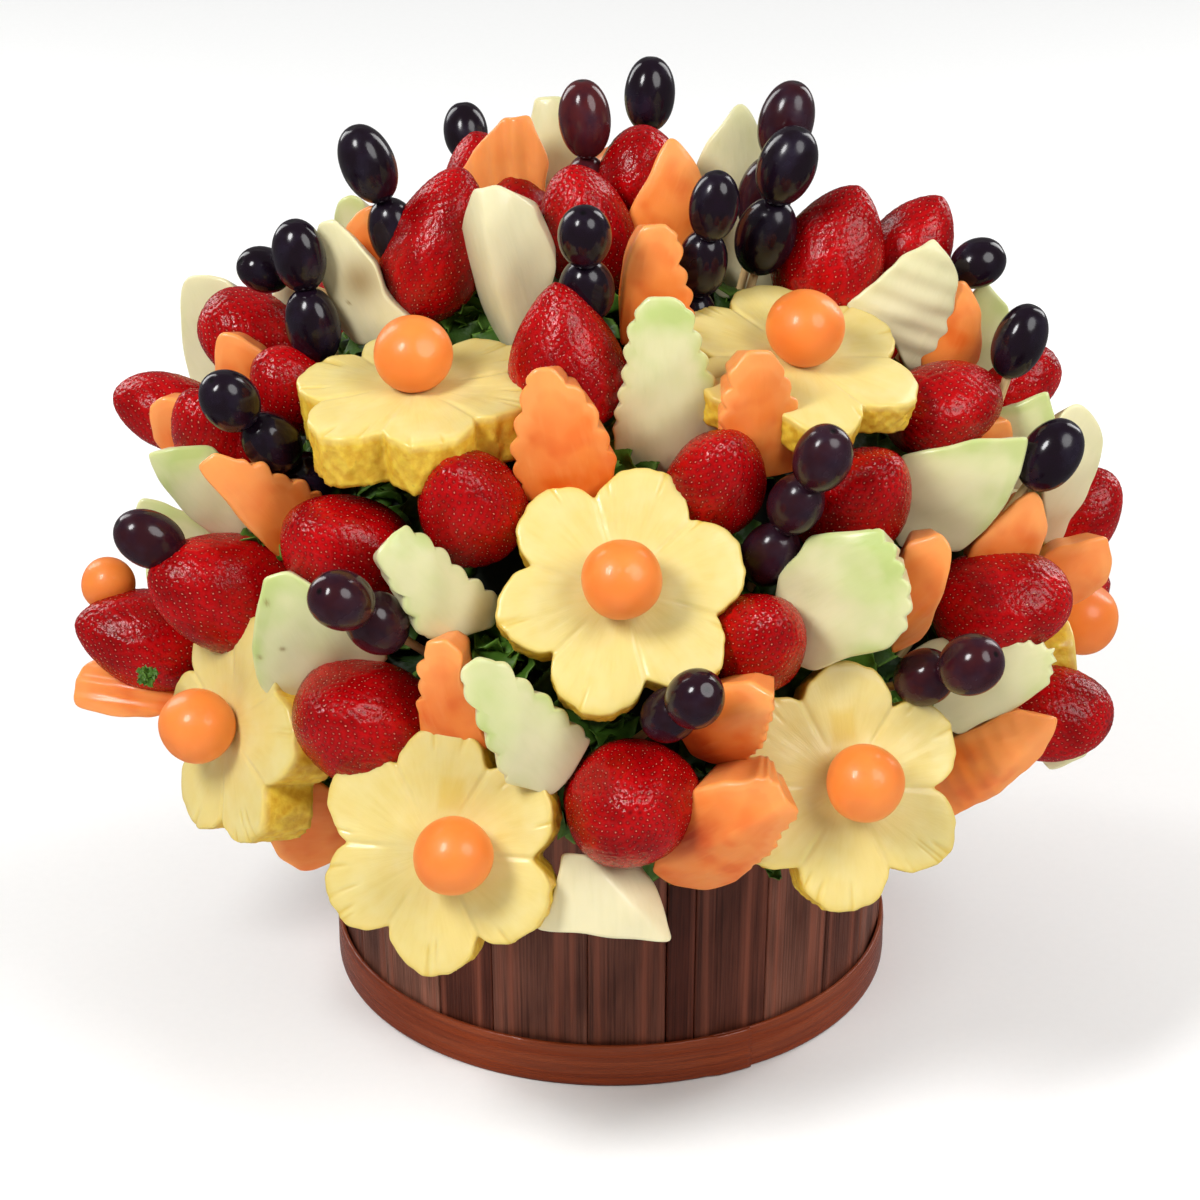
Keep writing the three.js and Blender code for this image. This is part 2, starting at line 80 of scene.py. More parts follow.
def fruit(at, size=None, rim=None, **more):
    """One piece of fruit: heading, rise and reach, sizes, and its outline's corners as x and y in turn.

    aim and face are a heading and a rise, and turn is about the aim. A crest is a place, a slope and a
    turn, ribs are a height, a pitch and a turn, and a darker patch on a wedge is a place, a width, a height
    and a strength: real stains on some wedges and painted shade on others.
    """
    given = {"at": at, "size": size, "rim": rim, **more}
    return {key: value for key, value in given.items() if value is not None}


# ---- Arrangement ----
FLOWERS = [
    fruit((1, 46, 206), aim=(2, 40), turn=14),
    fruit((-19, 20, 189), aim=(-16, 23), turn=33, ball=(8, -4.5), stain=(3, 19)),
    fruit((27, 25, 188), aim=(15, 27), turn=22, ball=(3, 0), stain=(1, 20)),
    fruit((-37, 61, 223), aim=(-40, 84), turn=20, thick=19),
    fruit((39, 64, 224), aim=(40, 74), turn=5, thick=12),
    fruit((-50, 25, 188), aim=(-58, 16), turn=15, thick=20),
    fruit((77, 27, 179), aim=(99, 5), turn=0),
]
BERRIES = [
    fruit((2, 26, 182), (44, 50)),
    fruit((-32, 31, 188), (45, 50), taper=0.66),
    fruit((19, 41, 194), (33, 46)),
    fruit((-40, 46, 202), (41, 50), aim=(-46, 39)),
    fruit((-22, 53, 208), (36, 48)),
    fruit((17, 56, 208), (33, 48)),
    fruit((39, 51, 206), (37, 50), aim=(36, 47)),
    fruit((-11, 68, 221), (41, 52), aim=(-60, 82), taper=0.78),
    fruit((-71, 74, 228), (38, 56), aim=(100, 70), taper=0.6),
    fruit((-27, 85, 225), (35, 48), aim=(-60, 72), taper=0.62),
    fruit((73, 70, 231), (38, 50), aim=(100, 70)),
    fruit((-87, 55, 218), (34, 42), aim=(-84, 34), taper=0.44),
    fruit((-57, 37, 199), (42, 54), aim=(-66, 25)),
    fruit((-72, 26, 192), (37, 50), aim=(-78, 23)),
    fruit((61, 54, 218), (34, 41), aim=(110, 12), taper=0.46),
    fruit((56, 36, 197), (38, 48), aim=(78, 12), taper=0.46),
    fruit((62, 22, 186), (35, 42), aim=(62, 4), taper=0.46),
]
GRAPES = [
    fruit((164, 79, 254), (18, 27), count=2),
    fruit((-134, 87, 254), (18, 28), count=2, red=0.9),
    fruit((59, 75, 262), (20, 29), count=2),
    fruit((30, 75, 256), (17, 25), count=3),
    fruit((-7, 72, 257), (18, 24), count=2),
    fruit((-77, 71, 262), (19, 29), count=2),
    fruit((-68, 63, 251), (18, 26), count=3, aim=(-120, 80)),
    fruit((-55, 51, 245), (19, 25), count=3),
    fruit((-29, 40, 234), (20, 25), count=2, aim=(-33, 40), red=0.35),
    fruit((8, 35, 223), (19, 24), count=2, aim=(24, 40), red=0.2),
    fruit((27, 52, 241), (19, 25), count=3, aim=(45, 62), red=0.3),
    fruit((72, 53, 242), (18, 27), count=1, aim=(112, 72)),
    fruit((61, 45, 237), (20, 27), count=1, aim=(98, 56)),
    fruit((39, 33, 222), (20, 24), count=2, aim=(45, 31), red=0.5),
]
HONEYDEWS = [
    fruit((11, 65, 220), (37, 68, 24), [6, 33, -3, 33, -7, 29, -11, 17, -15, 2, -18, -14, -16, -35, 18, -34,
          18, -15, 14, 3, 13, 17, 10, 28], aim=(-20, 86), face=(0, 10), pitch=7.5, crimp=(2, 3, 4, 8, 9, 10)),
    fruit((-38, 76, 228), (28, 60, 26), [3, 30, -5, 30, -9, 25, -13, 18, -14, 7, -14, -5, -10, -15, 2, -29,
          11, -29, 29, -29, 32, -17, 31, -5, 17, 13, 7, 24], aim=(-105, 74), face=(-20, 10), crown=0.3,
          crest=(2, 0.42, 4), tipward=0.2),
    # Its darker patch is painted shadow over its end away from the tip.
    fruit((31, 43, 203), (44, 56, 24), [17, -13, 19, -3, 22, 3, 17, 16, 13, 25, 5, 27, -3, 26, -13, 22, -21,
          14, -23, 7, -19, -7, -16, -22, -8, -29, 8, -23], aim=(72, 40), face=(30, 40), pitch=6.8, stains=((2,
          -27, 16, 9, 0.5),), crimp=(4, 5, 6, 7)),
    fruit((56, 48, 211), (40, 60, 22), [21, -9, 18, 1, 12, 15, 2, 30, -7, 21, -12, 12, -17, -1, -19, -14, -7,
          -30, 11, -25], aim=(82, 38), face=(20, 20)),
    fruit((73, 63, 230), (41, 48, 22), [21, -9, 16, 0, 13, 8, 11, 14, 5, 20, 2, 24, -5, 20, -12, 14, -16, 2,
          -20, -11, -20, -19, -11, -24, -2, -16, 12, -14], aim=(100, 66), face=(20, 20), ribs=(0.28, 8, 0),
          tipward=0.3),
    fruit((-25, 44, 206), (26, 53, 22), [1, 26, -6, 25, -11, 22, -13, 12, -13, -4, -15, -24, -7, -27, 7, -16,
          12, -8, 8, 6, 6, 17, 4, 24], aim=(-72, 50), face=(10, 30), pitch=8.5, crimp=(2, 3, 4, 8, 9)),
    fruit((-12, 33, 199), (29, 59, 22), [-4, 30, -11, 29, -14, 22, -15, 8, -16, -7, -16, -25, -3, -28, 6, -28,
          13, -11, 7, 6, 2, 19, -1, 27], aim=(-72, 50), face=(0, 25), pitch=9, crimp=(2, 3, 4, 8, 9, 10)),
    fruit((-41, 37, 197), (44, 55, 20), [-3, 29, -11, 27, -16, 20, -21, 6, -23, -19, -5, -23, 18, -26, 21,
          -19, 20, -7, 14, 8, 4, 21], aim=(-75, 60), face=(-25, 30), stains=((0, 21, 0.9, 0.9, 0.8), (4, 4, 1,
          0.8, 0.8), (13, 4, 0.8, 0.8, 0.7))),
    fruit((-2, 16, 171), (45, 33, 20), [11, 15, 0, 13, -15, 8, -20, 1, -23, -9, -24, -18, 0, -14, 21, -10, 15,
          -2, 13, 7], aim=(-170, 68), face=(5, 20), tipward=0.0, crest=(-6.6, 0.6, -39), lean=1),
]
CANTALOUPES = [
    fruit((-9, 60, 220), (33, 54, 24), [3, 26, -3, 25, -6, 20, -12, 11, -15, -2, -16, -14, -12, -28, 17, -23,
          16, -2, 10, 13, 7, 23], aim=(-70, 78), face=(-5, 15), pitch=9.5, crimp=(2, 3, 4, 7, 8, 9)),
    fruit((15, 75, 230), (27, 47, 24), [10, 20, 3, 23, -2, 19, -4, 10, -8, 2, -13, -10, -14, -21, 10, -24, 13,
          -7, 13, 11], aim=(90, 80), face=(10, 15), pitch=8.5, crimp=(2, 3, 4)),
    fruit((24, 60, 225), (29, 50, 20), [3, 24, -4, 23, -8, 15, -11, 6, -15, -6, -16, -27, 9, -23, 14, -6, 13,
          9, 9, 19], aim=(-20, 84), face=(20, 15), pitch=8, crimp=(2, 3, 7, 8)),
    fruit((-55, 47, 212), (25, 52, 22), [9, 25, 2, 25, -2, 17, -7, 11, -8, 2, -12, -5, -13, -16, -7, -26, 11,
          -23, 12, -5, 11, 12, 10, 20], aim=(-74, 52), face=(0, 30), pitch=8.5, tipward=1.5, crimp=(2, 3, 4,
          5)),
    fruit((-20, 36, 192), (26, 49, 22), [0, 24, -7, 24, -11, 17, -9, 9, -11, -2, -11, -19, -3, -24, 16, -27,
          9, -2, 5, 6, 5, 13, 1, 19], aim=(-72, 76), face=(-20, 10), pitch=8, crimp=(8, 9, 10)),
    # The next two carry painted shade: their darker patches deepen the orange where they lie in shadow.
    fruit((15, 34, 192), (29, 45, 22), [14, -8, 14, 5, 10, 16, 3, 22, -4, 16, -12, 4, -15, -8, -12, -20, -5,
          -24, 6, -19], aim=(60, 36), face=(10, 20), cols=240, crimp=(3, 4, 5), pitch=5, bite=-0.6, crest=(4,
          0.3, 10), stains=((-2, -16, 12, 6, 0.7),)),
    fruit((13, 23, 184), (38, 60, 24), [19, 2, 17, 13, 13, 20, 12, 25, 7, 29, -6, 27, -9, 17, -14, 9, -16, -3,
          -19, -14, -17, -27, -8, -32, 3, -31, 15, -15], aim=(70, 40), face=(10, 10), cols=240, crimp=(3, 5,
          6, 7), pitch=5, bite=-0.7, crest=(3, 0.35, 5), stains=((9, -8, 6, 12, 1.0),)),
    fruit((50, 22, 181), (26, 57, 22), [12, -8, 13, 2, 13, 12, 12, 19, 4, 29, -1, 25, -6, 18, -8, 11, -12, -6,
          -12, -16, -13, -24, -4, -29, 7, -20], aim=(80, 34), face=(35, 20), crest=(-4, 0.4, -20), ribs=(0.17,
          6.5, 0), tipward=1.4),
]

# Fruit that shows between and behind the pieces above.
MORE_BERRIES = [
    fruit((125, 87, 232), (32, 40), aim=(40, 84), taper=0.46),
    fruit((-148, 67, 220), (34, 46), aim=(-100, 78)),
    fruit((85, 64, 236), (32, 44), aim=(100, 60)),
    fruit((-65, 56, 215), (27, 36), aim=(-60, 50), taper=0.5),
    fruit((-66, 48, 222), (30, 42), aim=(-50, 62), taper=0.6),
    fruit((-83, 45, 221), (27, 40), aim=(-95, 18), taper=0.55),
    fruit((84, 49, 216), (25, 36), aim=(92, 38), taper=0.44),
    fruit((83, 35, 203), (28, 38), aim=(90, 52), taper=0.5),
    fruit((-64, 49, 212), (26, 34), aim=(-70, 40)),
]
MORE_GRAPES = [
    fruit((76, 77, 268), (19, 29), count=2, red=0.35),
    fruit((-149, 65, 243), (16, 22), count=1),
    fruit((-78, 60, 244), (16, 20), count=1, aim=(-60, 30)),
    fruit((-60, 38, 228), (19, 26), count=2, aim=(-75, 30), red=0.3),
    fruit((81, 59, 247), (17, 20), count=1, aim=(100, 24)),
]
MORE_HONEYDEWS = [
    fruit((-63, 45, 216), (24, 46, 20), [9, 23, -1, 19, -10, 11, -11, -1, 0, -23, 12, -14, 13, 1, 12, 13, 11,
          19], aim=(-88, 52), face=(-10, 20)),
    fruit((-70, 38, 200), (27, 46, 18), [-1, 22, -5, 23, -9, 15, -11, 5, -12, -13, -4, -24, 11, -15, 15, 3, 8,
          16], aim=(-86, 40), face=(-20, 20)),
    fruit((-69, 67, 231), (25, 49, 22), [5, 24, -1, 24, -4, 16, -8, 5, -7, -6, -11, -21, -5, -25, 3, -23, 12,
          -21, 15, -14, 13, -3, 12, 9, 10, 17], aim=(-106, 66), face=(-20, 25), tipward=0.25, stains=((-1, 1,
          8, 9, 0.75), (6, -5, 0.9, 0.9, 0.8), (-6, 8, 3, 4, 0.3))),
    fruit((-101, 50, 219), (43, 49, 20), [3, 22, -1, 24, -8, 22, -15, 18, -18, 12, -20, 4, -9, -12, 6, -22,
          18, -25, 23, -21, 21, -13, 18, -5, 12, 7, 6, 17], aim=(-110, 62), face=(-30, 10), tipward=0.3),
    fruit((100, 79, 229), (34, 72, 22), [-3, 35, -6, 32, -8, 28, -11, 22, -15, 12, -17, -3, -18, -14, -16,
          -29, -13, -36, 6, -35, 13, -24, 16, -9, 16, 6, 13, 15, 9, 23, 3, 30, 0, 34], aim=(-160, 84),
          face=(0, 10), tipward=0.35),
    fruit((-166, 69, 226), (20, 54, 20), [8, 26, -1, 27, -7, 25, -10, 3, -8, -22, 5, -27, 10, -8, 11, 11],
          aim=(-170, 84), face=(0, 10), tipward=0.5),
    fruit((86, 54, 217), (28, 46, 20), [15, 18, 13, 24, 6, 21, 1, 20, -5, 8, -13, -12, -7, -23, 4, -12, 12,
          4], aim=(96, 58), face=(20, 20)),
    fruit((70, 47, 219), (28, 40, 20), [16, -3, 15, 3, 11, 13, 9, 20, -2, 14, -9, 3, -12, -12, 0, -19, 13,
          -12], aim=(86, 44), face=(30, 30)),
    fruit((73, 42, 216), (31, 59, 20), [17, 21, 15, 26, 12, 29, 7, 28, 1, 25, -3, 21, -5, 15, -8, 8, -10, -3,
          -10, -12, -14, -22, -13, -30, -5, -23, 9, -3], aim=(86, 62), face=(30, 10), tipward=0.3),
    fruit((52, 31, 188), (34, 53, 20), [14, -24, 16, -13, 15, -6, 7, 13, 2, 22, -2, 26, -5, 25, -9, 21, -12,
          20, -15, 11, -17, 1, -17, -7, -18, -17, -10, -23, 2, -27], aim=(80, 28), face=(20, 30), tipward=0.7,
          cols=200, crimp=(3, 4, 5, 6, 7), pitch=4.5, bite=-0.9),
    fruit((-105, 66, 231), (14, 48, 16), [5, 5, 1, 10, -4, 11, -7, 8, -7, 2, -6, -34, 5, -38, 7, -3],
          aim=(-100, 74), face=(-20, 20), tipward=0.9),
    fruit((-90, 60, 221), (13, 46, 16), [8, 3, 2, 8, -2, 8, -5, 3, -5, -34, 5, -38, 9, -4], aim=(-100, 74),
          face=(-20, 20), tipward=0.1),
    fruit((69, 14, 175), (26, 17, 12), [-1, -8, 12, -10, 20, -4, 20, 4, 10, 10, -2, 9, -4, 1, -5, -6],
          aim=(95, 12), face=(30, 30), tipward=0.4),
]
MORE_CANTALOUPES = [
    fruit((62, 85, 232), (25, 45, 22), [8, 22, 5, 22, 0, 19, -5, 16, -10, 11, -12, 0, -12, -9, -12, -17, 5,
          -23, 11, -15, 12, -6, 11, 2, 10, 12], aim=(115, 66), face=(10, 10)),
    fruit((-144, 74, 231), (35, 37, 22), [-2, 19, -12, 19, -15, 12, -18, 2, -15, -18, 17, -18, 16, -4, 9, 7,
          1, 15], aim=(-140, 84), face=(-20, 35), ribs=(0.7, 8, 90), tipward=4),
    fruit((42, 41, 201), (29, 47, 20), [16, 13, 13, 19, 11, 23, 6, 22, 2, 17, -4, 4, -15, -15, -10, -25, 10,
          -7], aim=(80, 50), face=(30, 20), crest=(0, 0.4, 0)),
    fruit((60, 41, 204), (28, 48, 20), [10, 18, 6, 24, 1, 22, -6, 13, -11, -1, -15, -18, -1, -24, 11, -15, 14,
          -3, 11, 12], aim=(84, 60), face=(30, 20)),
    fruit((68, 35, 204), (24, 42, 20), [11, 0, 10, 6, 6, 14, 1, 20, -7, 15, -14, 8, -13, -2, -7, -18, 2, -21,
          11, -11], aim=(92, 44), face=(30, 20)),
    fruit((-72, 21, 187), (26, 44, 18), [-7, 13, -2, 20, 2, 22, 7, 22, 12, 21, 13, 16, 13, 2, 12, -7, 9, -14,
          2, -21, -7, -21, -13, -13, -13, 1], aim=(-100, 5), face=(-40, 30), ribs=(0.5, 6, 90)),
    fruit((-43, 17, 167), (35, 43, 20), [-6, 21, -10, 18, -14, 12, -17, 5, -17, -3, -10, -16, 8, -22, 15, -18,
          18, -11, 18, -5, 12, 5, 6, 11, -1, 17], aim=(-60, 16), face=(-20, 10)),
    fruit((-77, 54, 219), (27, 33, 18), [2, 16, -1, 17, -6, 12, -10, 5, -12, -5, -2, -16, 13, -16, 15, -4, 7,
          9], aim=(-100, 60), face=(-20, 20)),
    fruit((-78, 46, 218), (25, 30, 18), [4, 14, -1, 15, -6, 12, -13, 5, -13, -7, -5, -15, 9, -10, 11, 2],
          aim=(-90, 60), face=(-20, 20)),
    fruit((77, 58, 226), (27, 37, 20), [9, 16, 6, 19, 2, 17, -4, 11, -8, 3, -13, -7, -9, -18, 5, -18, 13, -6,
          14, 8], aim=(96, 66), face=(20, 20)),
    fruit((64, 50, 208), (29, 41, 20), [15, -5, 11, 7, 5, 16, 0, 20, -6, 16, -13, 2, -11, -15, 1, -21],
          aim=(86, 50), face=(30, 20)),
    fruit((-83, 70, 230), (22, 33, 20), [11, 9, 5, 15, -1, 16, -7, 12, -11, -4, -3, -17, 7, -14, 11, -2],
          aim=(-100, 74), face=(-10, 10)),
]
MORE_BALLS = [fruit((-76, 29, 200), radius=9.5)]

# Sprigs of curly leaf that stand up into the gaps: heading, rise and reach of the middle, and size.
SPRIGS = [(-50, 57, 173, 1), (-40, 53, 164, 1), (-70, 73, 200, 1), (27, 50, 166, 1), (27, 13, 122, 0.3),
          (-45, 22, 157, 0.8), (10, 13, 124, 0.25), (32, 37, 163, 1), (-2, 60, 190, 1), (-17, 43, 176, 1),
          (-55, 44, 181, 1), (45, 31, 156, 0.8), (-2, 38, 148, 1), (-60, 26, 202, 0.22)]

# Rings of fruit round the back: rise, first and last heading, and the fruit in turn by its first letter.
REAR_RINGS = [(18, 98, 262, "bcfhbgcfbh"), (32, 98, 260, "hbcgbfchbc"), (47, 98, 258, "chfbgchbh"),
              (62, 100, 252, "bcfhb"), (77, 120, 240, "hcb")]

# What each kind of fruit is made of, and its slot.
MADE_OF = {
    "flower": (("pineapple", "ball", "skewer"), "pineapple"),
    "melon ball": (("ball", "skewer"), "cantaloupe"),
    "berry": (("strawberry", "seed"), "strawberry"),
    "honeydew": (("honeydew",), "honeydew"),
    "cantaloupe": (("cantaloupe",), "cantaloupe"),
    "grape": (("grape", "skewer"), "grape_skin"),
}


# ---- Small helpers ----
def direction(heading, rise):
    """Unit vector turned right from the front by the heading and lifted by the rise, both in degrees."""
    h, r = math.radians(heading), math.radians(rise)
    return np.array([math.cos(r) * math.sin(h), -math.cos(r) * math.cos(h), math.sin(r)])


def unit(vectors):
    """The vectors, each brought to a length of 1."""
    return vectors / np.linalg.norm(vectors, axis=-1, keepdims=True)


def circle(count):
    """Angles evenly round a full turn, from 0."""
    return np.linspace(0, TURN, count, endpoint=False)


def eased(ring):
    """A ring of values, each averaged with its two neighbours, which count half as much."""
    return (np.roll(ring, 1, 0) + 2 * ring + np.roll(ring, -1, 0)) / 4


def piece_frame(item):
    """Axes (as columns) and origin of a piece: +Z along its aim, +Y as near its face as that allows."""
    at = item["at"]
    z = direction(*item.get("aim", at[:2]))
    x = unit(np.cross(direction(*item.get("face", (0, 90))), z))
    y = np.cross(z, x)
    a = math.radians(item.get("turn", 0))
    axes = np.stack([x * math.cos(a) + y * math.sin(a), y * math.cos(a) - x * math.sin(a), z], 1)
    return axes, HEART + direction(*at[:2]) * at[2]


def linear(hex_colour):
    """Linear RGBA of an sRGB hex colour."""
    parts = [int(hex_colour[i:i + 2], 16) / 255 for i in (1, 3, 5)]
    return (*[c / 12.92 if c <= 0.04045 else ((c + 0.055) / 1.055) ** 2.4 for c in parts], 1.0)


class Form:
    """Closed surface: points, quads, triangles, a mark of three numbers by point, and a material by face.

    The faces are turned outwards by the sign of the volume, summed from the tetrahedra to the origin.
    """

    def __init__(self, co, quads, tris, mark, material=0):
        fans = np.concatenate([quads[:, [0, 1, 2]], quads[:, [0, 2, 3]], tris])
        a, b, c = (co[fans[:, k]] for k in range(3))
        if np.einsum("ij,ij->i", a, np.cross(b, c)).sum() < 0:
            quads, tris = quads[:, ::-1], tris[:, ::-1]
        self.co, self.quads, self.tris, self.mark = co, quads, tris, mark
        self.local = co.copy()
        self.material = np.full(len(quads) + len(tris), material)

    def placed(self, axes, origin):
        """Points turned by the axes and moved to the origin, the local points kept as they were."""
        self.co = self.co @ axes.T + origin
        return self


def joined(forms):
    """One form from several, the triangles of all after the quads of all."""
    starts = np.cumsum([0] + [len(f.co) for f in forms])
    both = Form(*[np.concatenate(parts) for parts in (
        [f.co for f in forms], [f.quads + s for f, s in zip(forms, starts)],
        [f.tris + s for f, s in zip(forms, starts)], [f.mark for f in forms])])
    both.local = np.concatenate([f.local for f in forms])
    both.material = np.concatenate([f.material[:len(f.quads)] for f in forms]
                                   + [f.material[len(f.quads):] for f in forms])
    return both


def loft(rings, first, last, mark, mark_first=None, mark_last=None, material=0):
    """Closed skin over rings of points (rows, columns, 3), each end drawn in to one point."""
    rows, cols = rings.shape[:2]
    i = np.arange(rows - 1)[:, None] * cols
    j = np.arange(cols)[None]
    k = (j + 1) % cols
    quads = np.stack([i + j, i + k, i + cols + k, i + cols + j], -1).reshape(-1, 4)
    end = np.full(cols, rows * cols)
    tris = np.concatenate([np.stack([end, k[0], j[0]], -1),
                           np.stack([end + 1, (rows - 1) * cols + j[0], (rows - 1) * cols + k[0]], -1)])
    ends = [mark[0].mean(0) if mark_first is None else mark_first,
            mark[-1].mean(0) if mark_last is None else mark_last]
    return Form(np.concatenate([rings.reshape(-1, 3), [first, last]]), quads, tris,
                np.concatenate([mark.reshape(-1, 3), ends]), material)


def copies(points, quads, tris, at, axes):
    """Points of many small copies, each in its own axes at its place, and the faces of one carried over."""
    co = at[:, None] + sum(points[..., k:k + 1] * axes[k][:, None] for k in range(3))
    base = (np.arange(len(at)) * co.shape[1])[:, None, None]
    return co.reshape(-1, 3), (quads[None] + base).reshape(-1, 4), (tris[None] + base).reshape(-1, 3)


def put_mesh(name, form, materials):
    """Mesh object of a form, in metres, with its local points and marks as attributes and smooth faces."""
    mesh = bpy.data.meshes.new(name)
    loops = np.concatenate([form.quads.ravel(), form.tris.ravel()])
    sizes = np.concatenate([np.full(len(form.quads), 4), np.full(len(form.tris), 3)])
    mesh.vertices.add(len(form.co))
    mesh.vertices.foreach_set("co", (form.co * MM).astype(np.float32).ravel())
    mesh.loops.add(len(loops))
    mesh.loops.foreach_set("vertex_index", loops.astype(np.int32))
    mesh.polygons.add(len(sizes))
    mesh.polygons.foreach_set("loop_start", np.concatenate([[0], np.cumsum(sizes)[:-1]]).astype(np.int32))
    for material in materials:
        mesh.materials.append(MATERIALS[material])
    mesh.polygons.foreach_set("material_index", form.material.astype(np.int32))
    mesh.update(calc_edges=True)
    for key, values in (("local", form.local), ("mark", form.mark)):
        points = mesh.attributes.new(key, "FLOAT_VECTOR", "POINT")
        points.data.foreach_set("vector", values.astype(np.float32).ravel())
    mesh.shade_smooth()
    if mesh.validate():
        raise RuntimeError(f"{name} has faulty faces")
    return shown(name, mesh)


def shown(name, data):
    """Object of the data, in the scene."""
    made = bpy.data.objects.new(name, data)
    bpy.context.scene.collection.objects.link(made)
    return made


def settle(piece, slot, *nodes):
    """The piece rides on the one body and stands for its CAD nodes; the slot is not used."""
    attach(piece, "root")
    if nodes:
        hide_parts(*nodes)
    for node in nodes:
        lo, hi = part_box(node)
        middle = (lo + hi) / 2
        points = np.array([v[:] for v in piece.bound_box])
        if np.any(points.min(0) - SLACK > middle) or np.any(points.max(0) + SLACK < middle):
            raise RuntimeError(f"{piece.name} is not where {node} is")


def drawn(seed):
    """Random numbers that are the same on every run."""
    return np.random.default_rng(seed)


def set_fruit(name, kind, parts, *nodes):
    """Places many fruits of a kind, each a pair of forms and item, and joins them into one piece."""
    placed = []
    for forms, item in parts:
        axes, origin = piece_frame(item)
        placed += [form.placed(axes, origin) for form in forms]
    materials, slot = MADE_OF[kind]
    settle(put_mesh(name, joined(placed), materials), slot, *nodes)


def set_each(name, kind, items, seed, shape, node):
    """A piece for each item of a table, in the place of the CAD node of its number."""
    for i, item in enumerate(items):
        set_fruit(f"{name}_{i + 1:02d}", kind, [(shape(item, drawn(seed + i)), item)], f"{node}_{i + 1:02d}")


def set_further(name, kind, items, seed, shape):
    """One piece of all the items of a table."""
    set_fruit(name, kind, [(shape(item, drawn(seed + i)), item) for i, item in enumerate(items)])


# ---- Shapes ----
def berry(item, rng, rows=86, cols=152, spacing=2.6, pit=0.3):
    """Strawberry: its radius follows t^0.38 (1-t)^taper over the height t from the leaf end to the tip.

    It is made uneven by cosines round it, and sinks in a Gaussian pit at each seed, so that the skin between
    swells. The seeds are small lenses on a golden-angle spiral that gives each the same area.
    """
    width, length = item["size"]
    lumps = rng.uniform(0, TURN, 5)
    oval = rng.uniform(0.02, 0.06)
    bend = rng.uniform(-1, 1, 2) * 0.06 * length
    lead, trail = 0.38, item.get("taper", 0.62) + rng.uniform(-0.03, 0.03)
    crest = lead / (lead + trail)
    widest = crest ** lead * (1 - crest) ** trail
    swell, sunk = 0.08, 0.9     # of the skin between the pits, and how deep in its pit a seed lies

    def surface(a, t):
        t = np.clip(t, 0, 1)
        r = width / 2 * t ** lead * (1 - t) ** trail / widest
        r = r * (1 + 0.035 * np.cos(2 * a + lumps[0]) + 0.022 * np.cos(3 * a + lumps[1] + 3 * t)
                 + 0.012 * np.cos(5 * a + lumps[2] - 4 * t) + 0.02 * np.cos(7 * t + lumps[3] + np.cos(a)))
        side = (t - 0.5) ** 2
        x, y = r * np.cos(a) * (1 + oval) + bend[0] * side, r * np.sin(a) * (1 - oval) + bend[1] * side
        return np.stack([x, y, (t - 0.5) * length + 0 * a], -1)

    def around(a, t):
        t, e = np.clip(t, 0.003, 0.997), 1e-3
        n = np.cross(surface(a + e, t) - surface(a - e, t), surface(a, t + e) - surface(a, t - e))
        return surface(a, t), unit(n)

    grid_a, grid_t = np.meshgrid(circle(cols), 0.5 - 0.497 * np.cos(np.pi * np.linspace(0, 1, rows)))
    co, out = around(grid_a, grid_t)

    steps = np.linspace(0.001, 0.999, 600)
    line = surface(np.zeros(len(steps)), steps)
    radius, rise = np.hypot(line[:, 0], line[:, 1]), line[:, 2]
    area = np.cumsum(TURN * radius * np.hypot(np.gradient(radius), np.gradient(rise)))
    count = int(area[-1] / (spacing ** 2 * 0.87))
    seed_t = np.interp((np.arange(count) + 0.5) / count, area / area[-1], steps)
    seed_a = np.arange(count) * GOLDEN + rng.normal(0, 0.03, count)
    seed_at, seed_out = around(seed_a, seed_t)

    flat = co.reshape(-1, 3)
    gap = (flat ** 2).sum(1)[:, None] + (seed_at ** 2).sum(1)[None] - 2 * flat @ seed_at.T
    near = np.maximum(gap.min(1), 0).reshape(grid_a.shape)
    dent = np.exp(-near / (2 * (0.25 * spacing) ** 2))
    # The first mark is each pit's depth, by which the skin takes painted shade in its pit.
    mark = np.stack([dent, grid_t, np.full_like(grid_t, rng.uniform())], -1)
    body = loft(co - out * (pit * dent - swell)[..., None], surface(0.0, 0.0), surface(0.0, 1.0), mark)

    keep = (seed_t > 0.08) & (seed_t < 0.99)
    a, t, out = seed_a[keep], seed_t[keep], seed_out[keep]
    along = surface(a, t + 0.01) - surface(a, t - 0.01)
    return [body, lenses(seed_at[keep] - out * (pit * sunk - swell), out, along, rng)]


def lenses(at, out, along, rng):
    """Small seeds: each a four-sided double cone, smooth-shaded to a lens, lying along one direction."""
    half_width, half_length, half_height = 0.28, 0.5, 0.22
    along = unit(along - out * (along * out).sum(1, keepdims=True))
    a = circle(4)
    shape = np.stack([half_width * np.sin(a), half_length * np.cos(a), 0 * a], -1)
    shape = np.concatenate([shape, [[0, 0, -half_height], [0, 0, half_height]]])
    grow = rng.uniform(0.8, 1.15, (len(at), 1, 1))
    j, k = np.arange(4), (np.arange(4) + 1) % 4
    tris = np.concatenate([np.stack([j * 0 + 4, j, k], -1), np.stack([j * 0 + 5, k, j], -1)])
    tone = np.repeat(rng.uniform(0, 1, (len(at), 1)), len(shape), 0).repeat(3, 1)
    axes = (np.cross(along, out), along, out)
    return Form(*copies(grow * shape, np.zeros((0, 4), int), tris, at, axes), tone, 1)


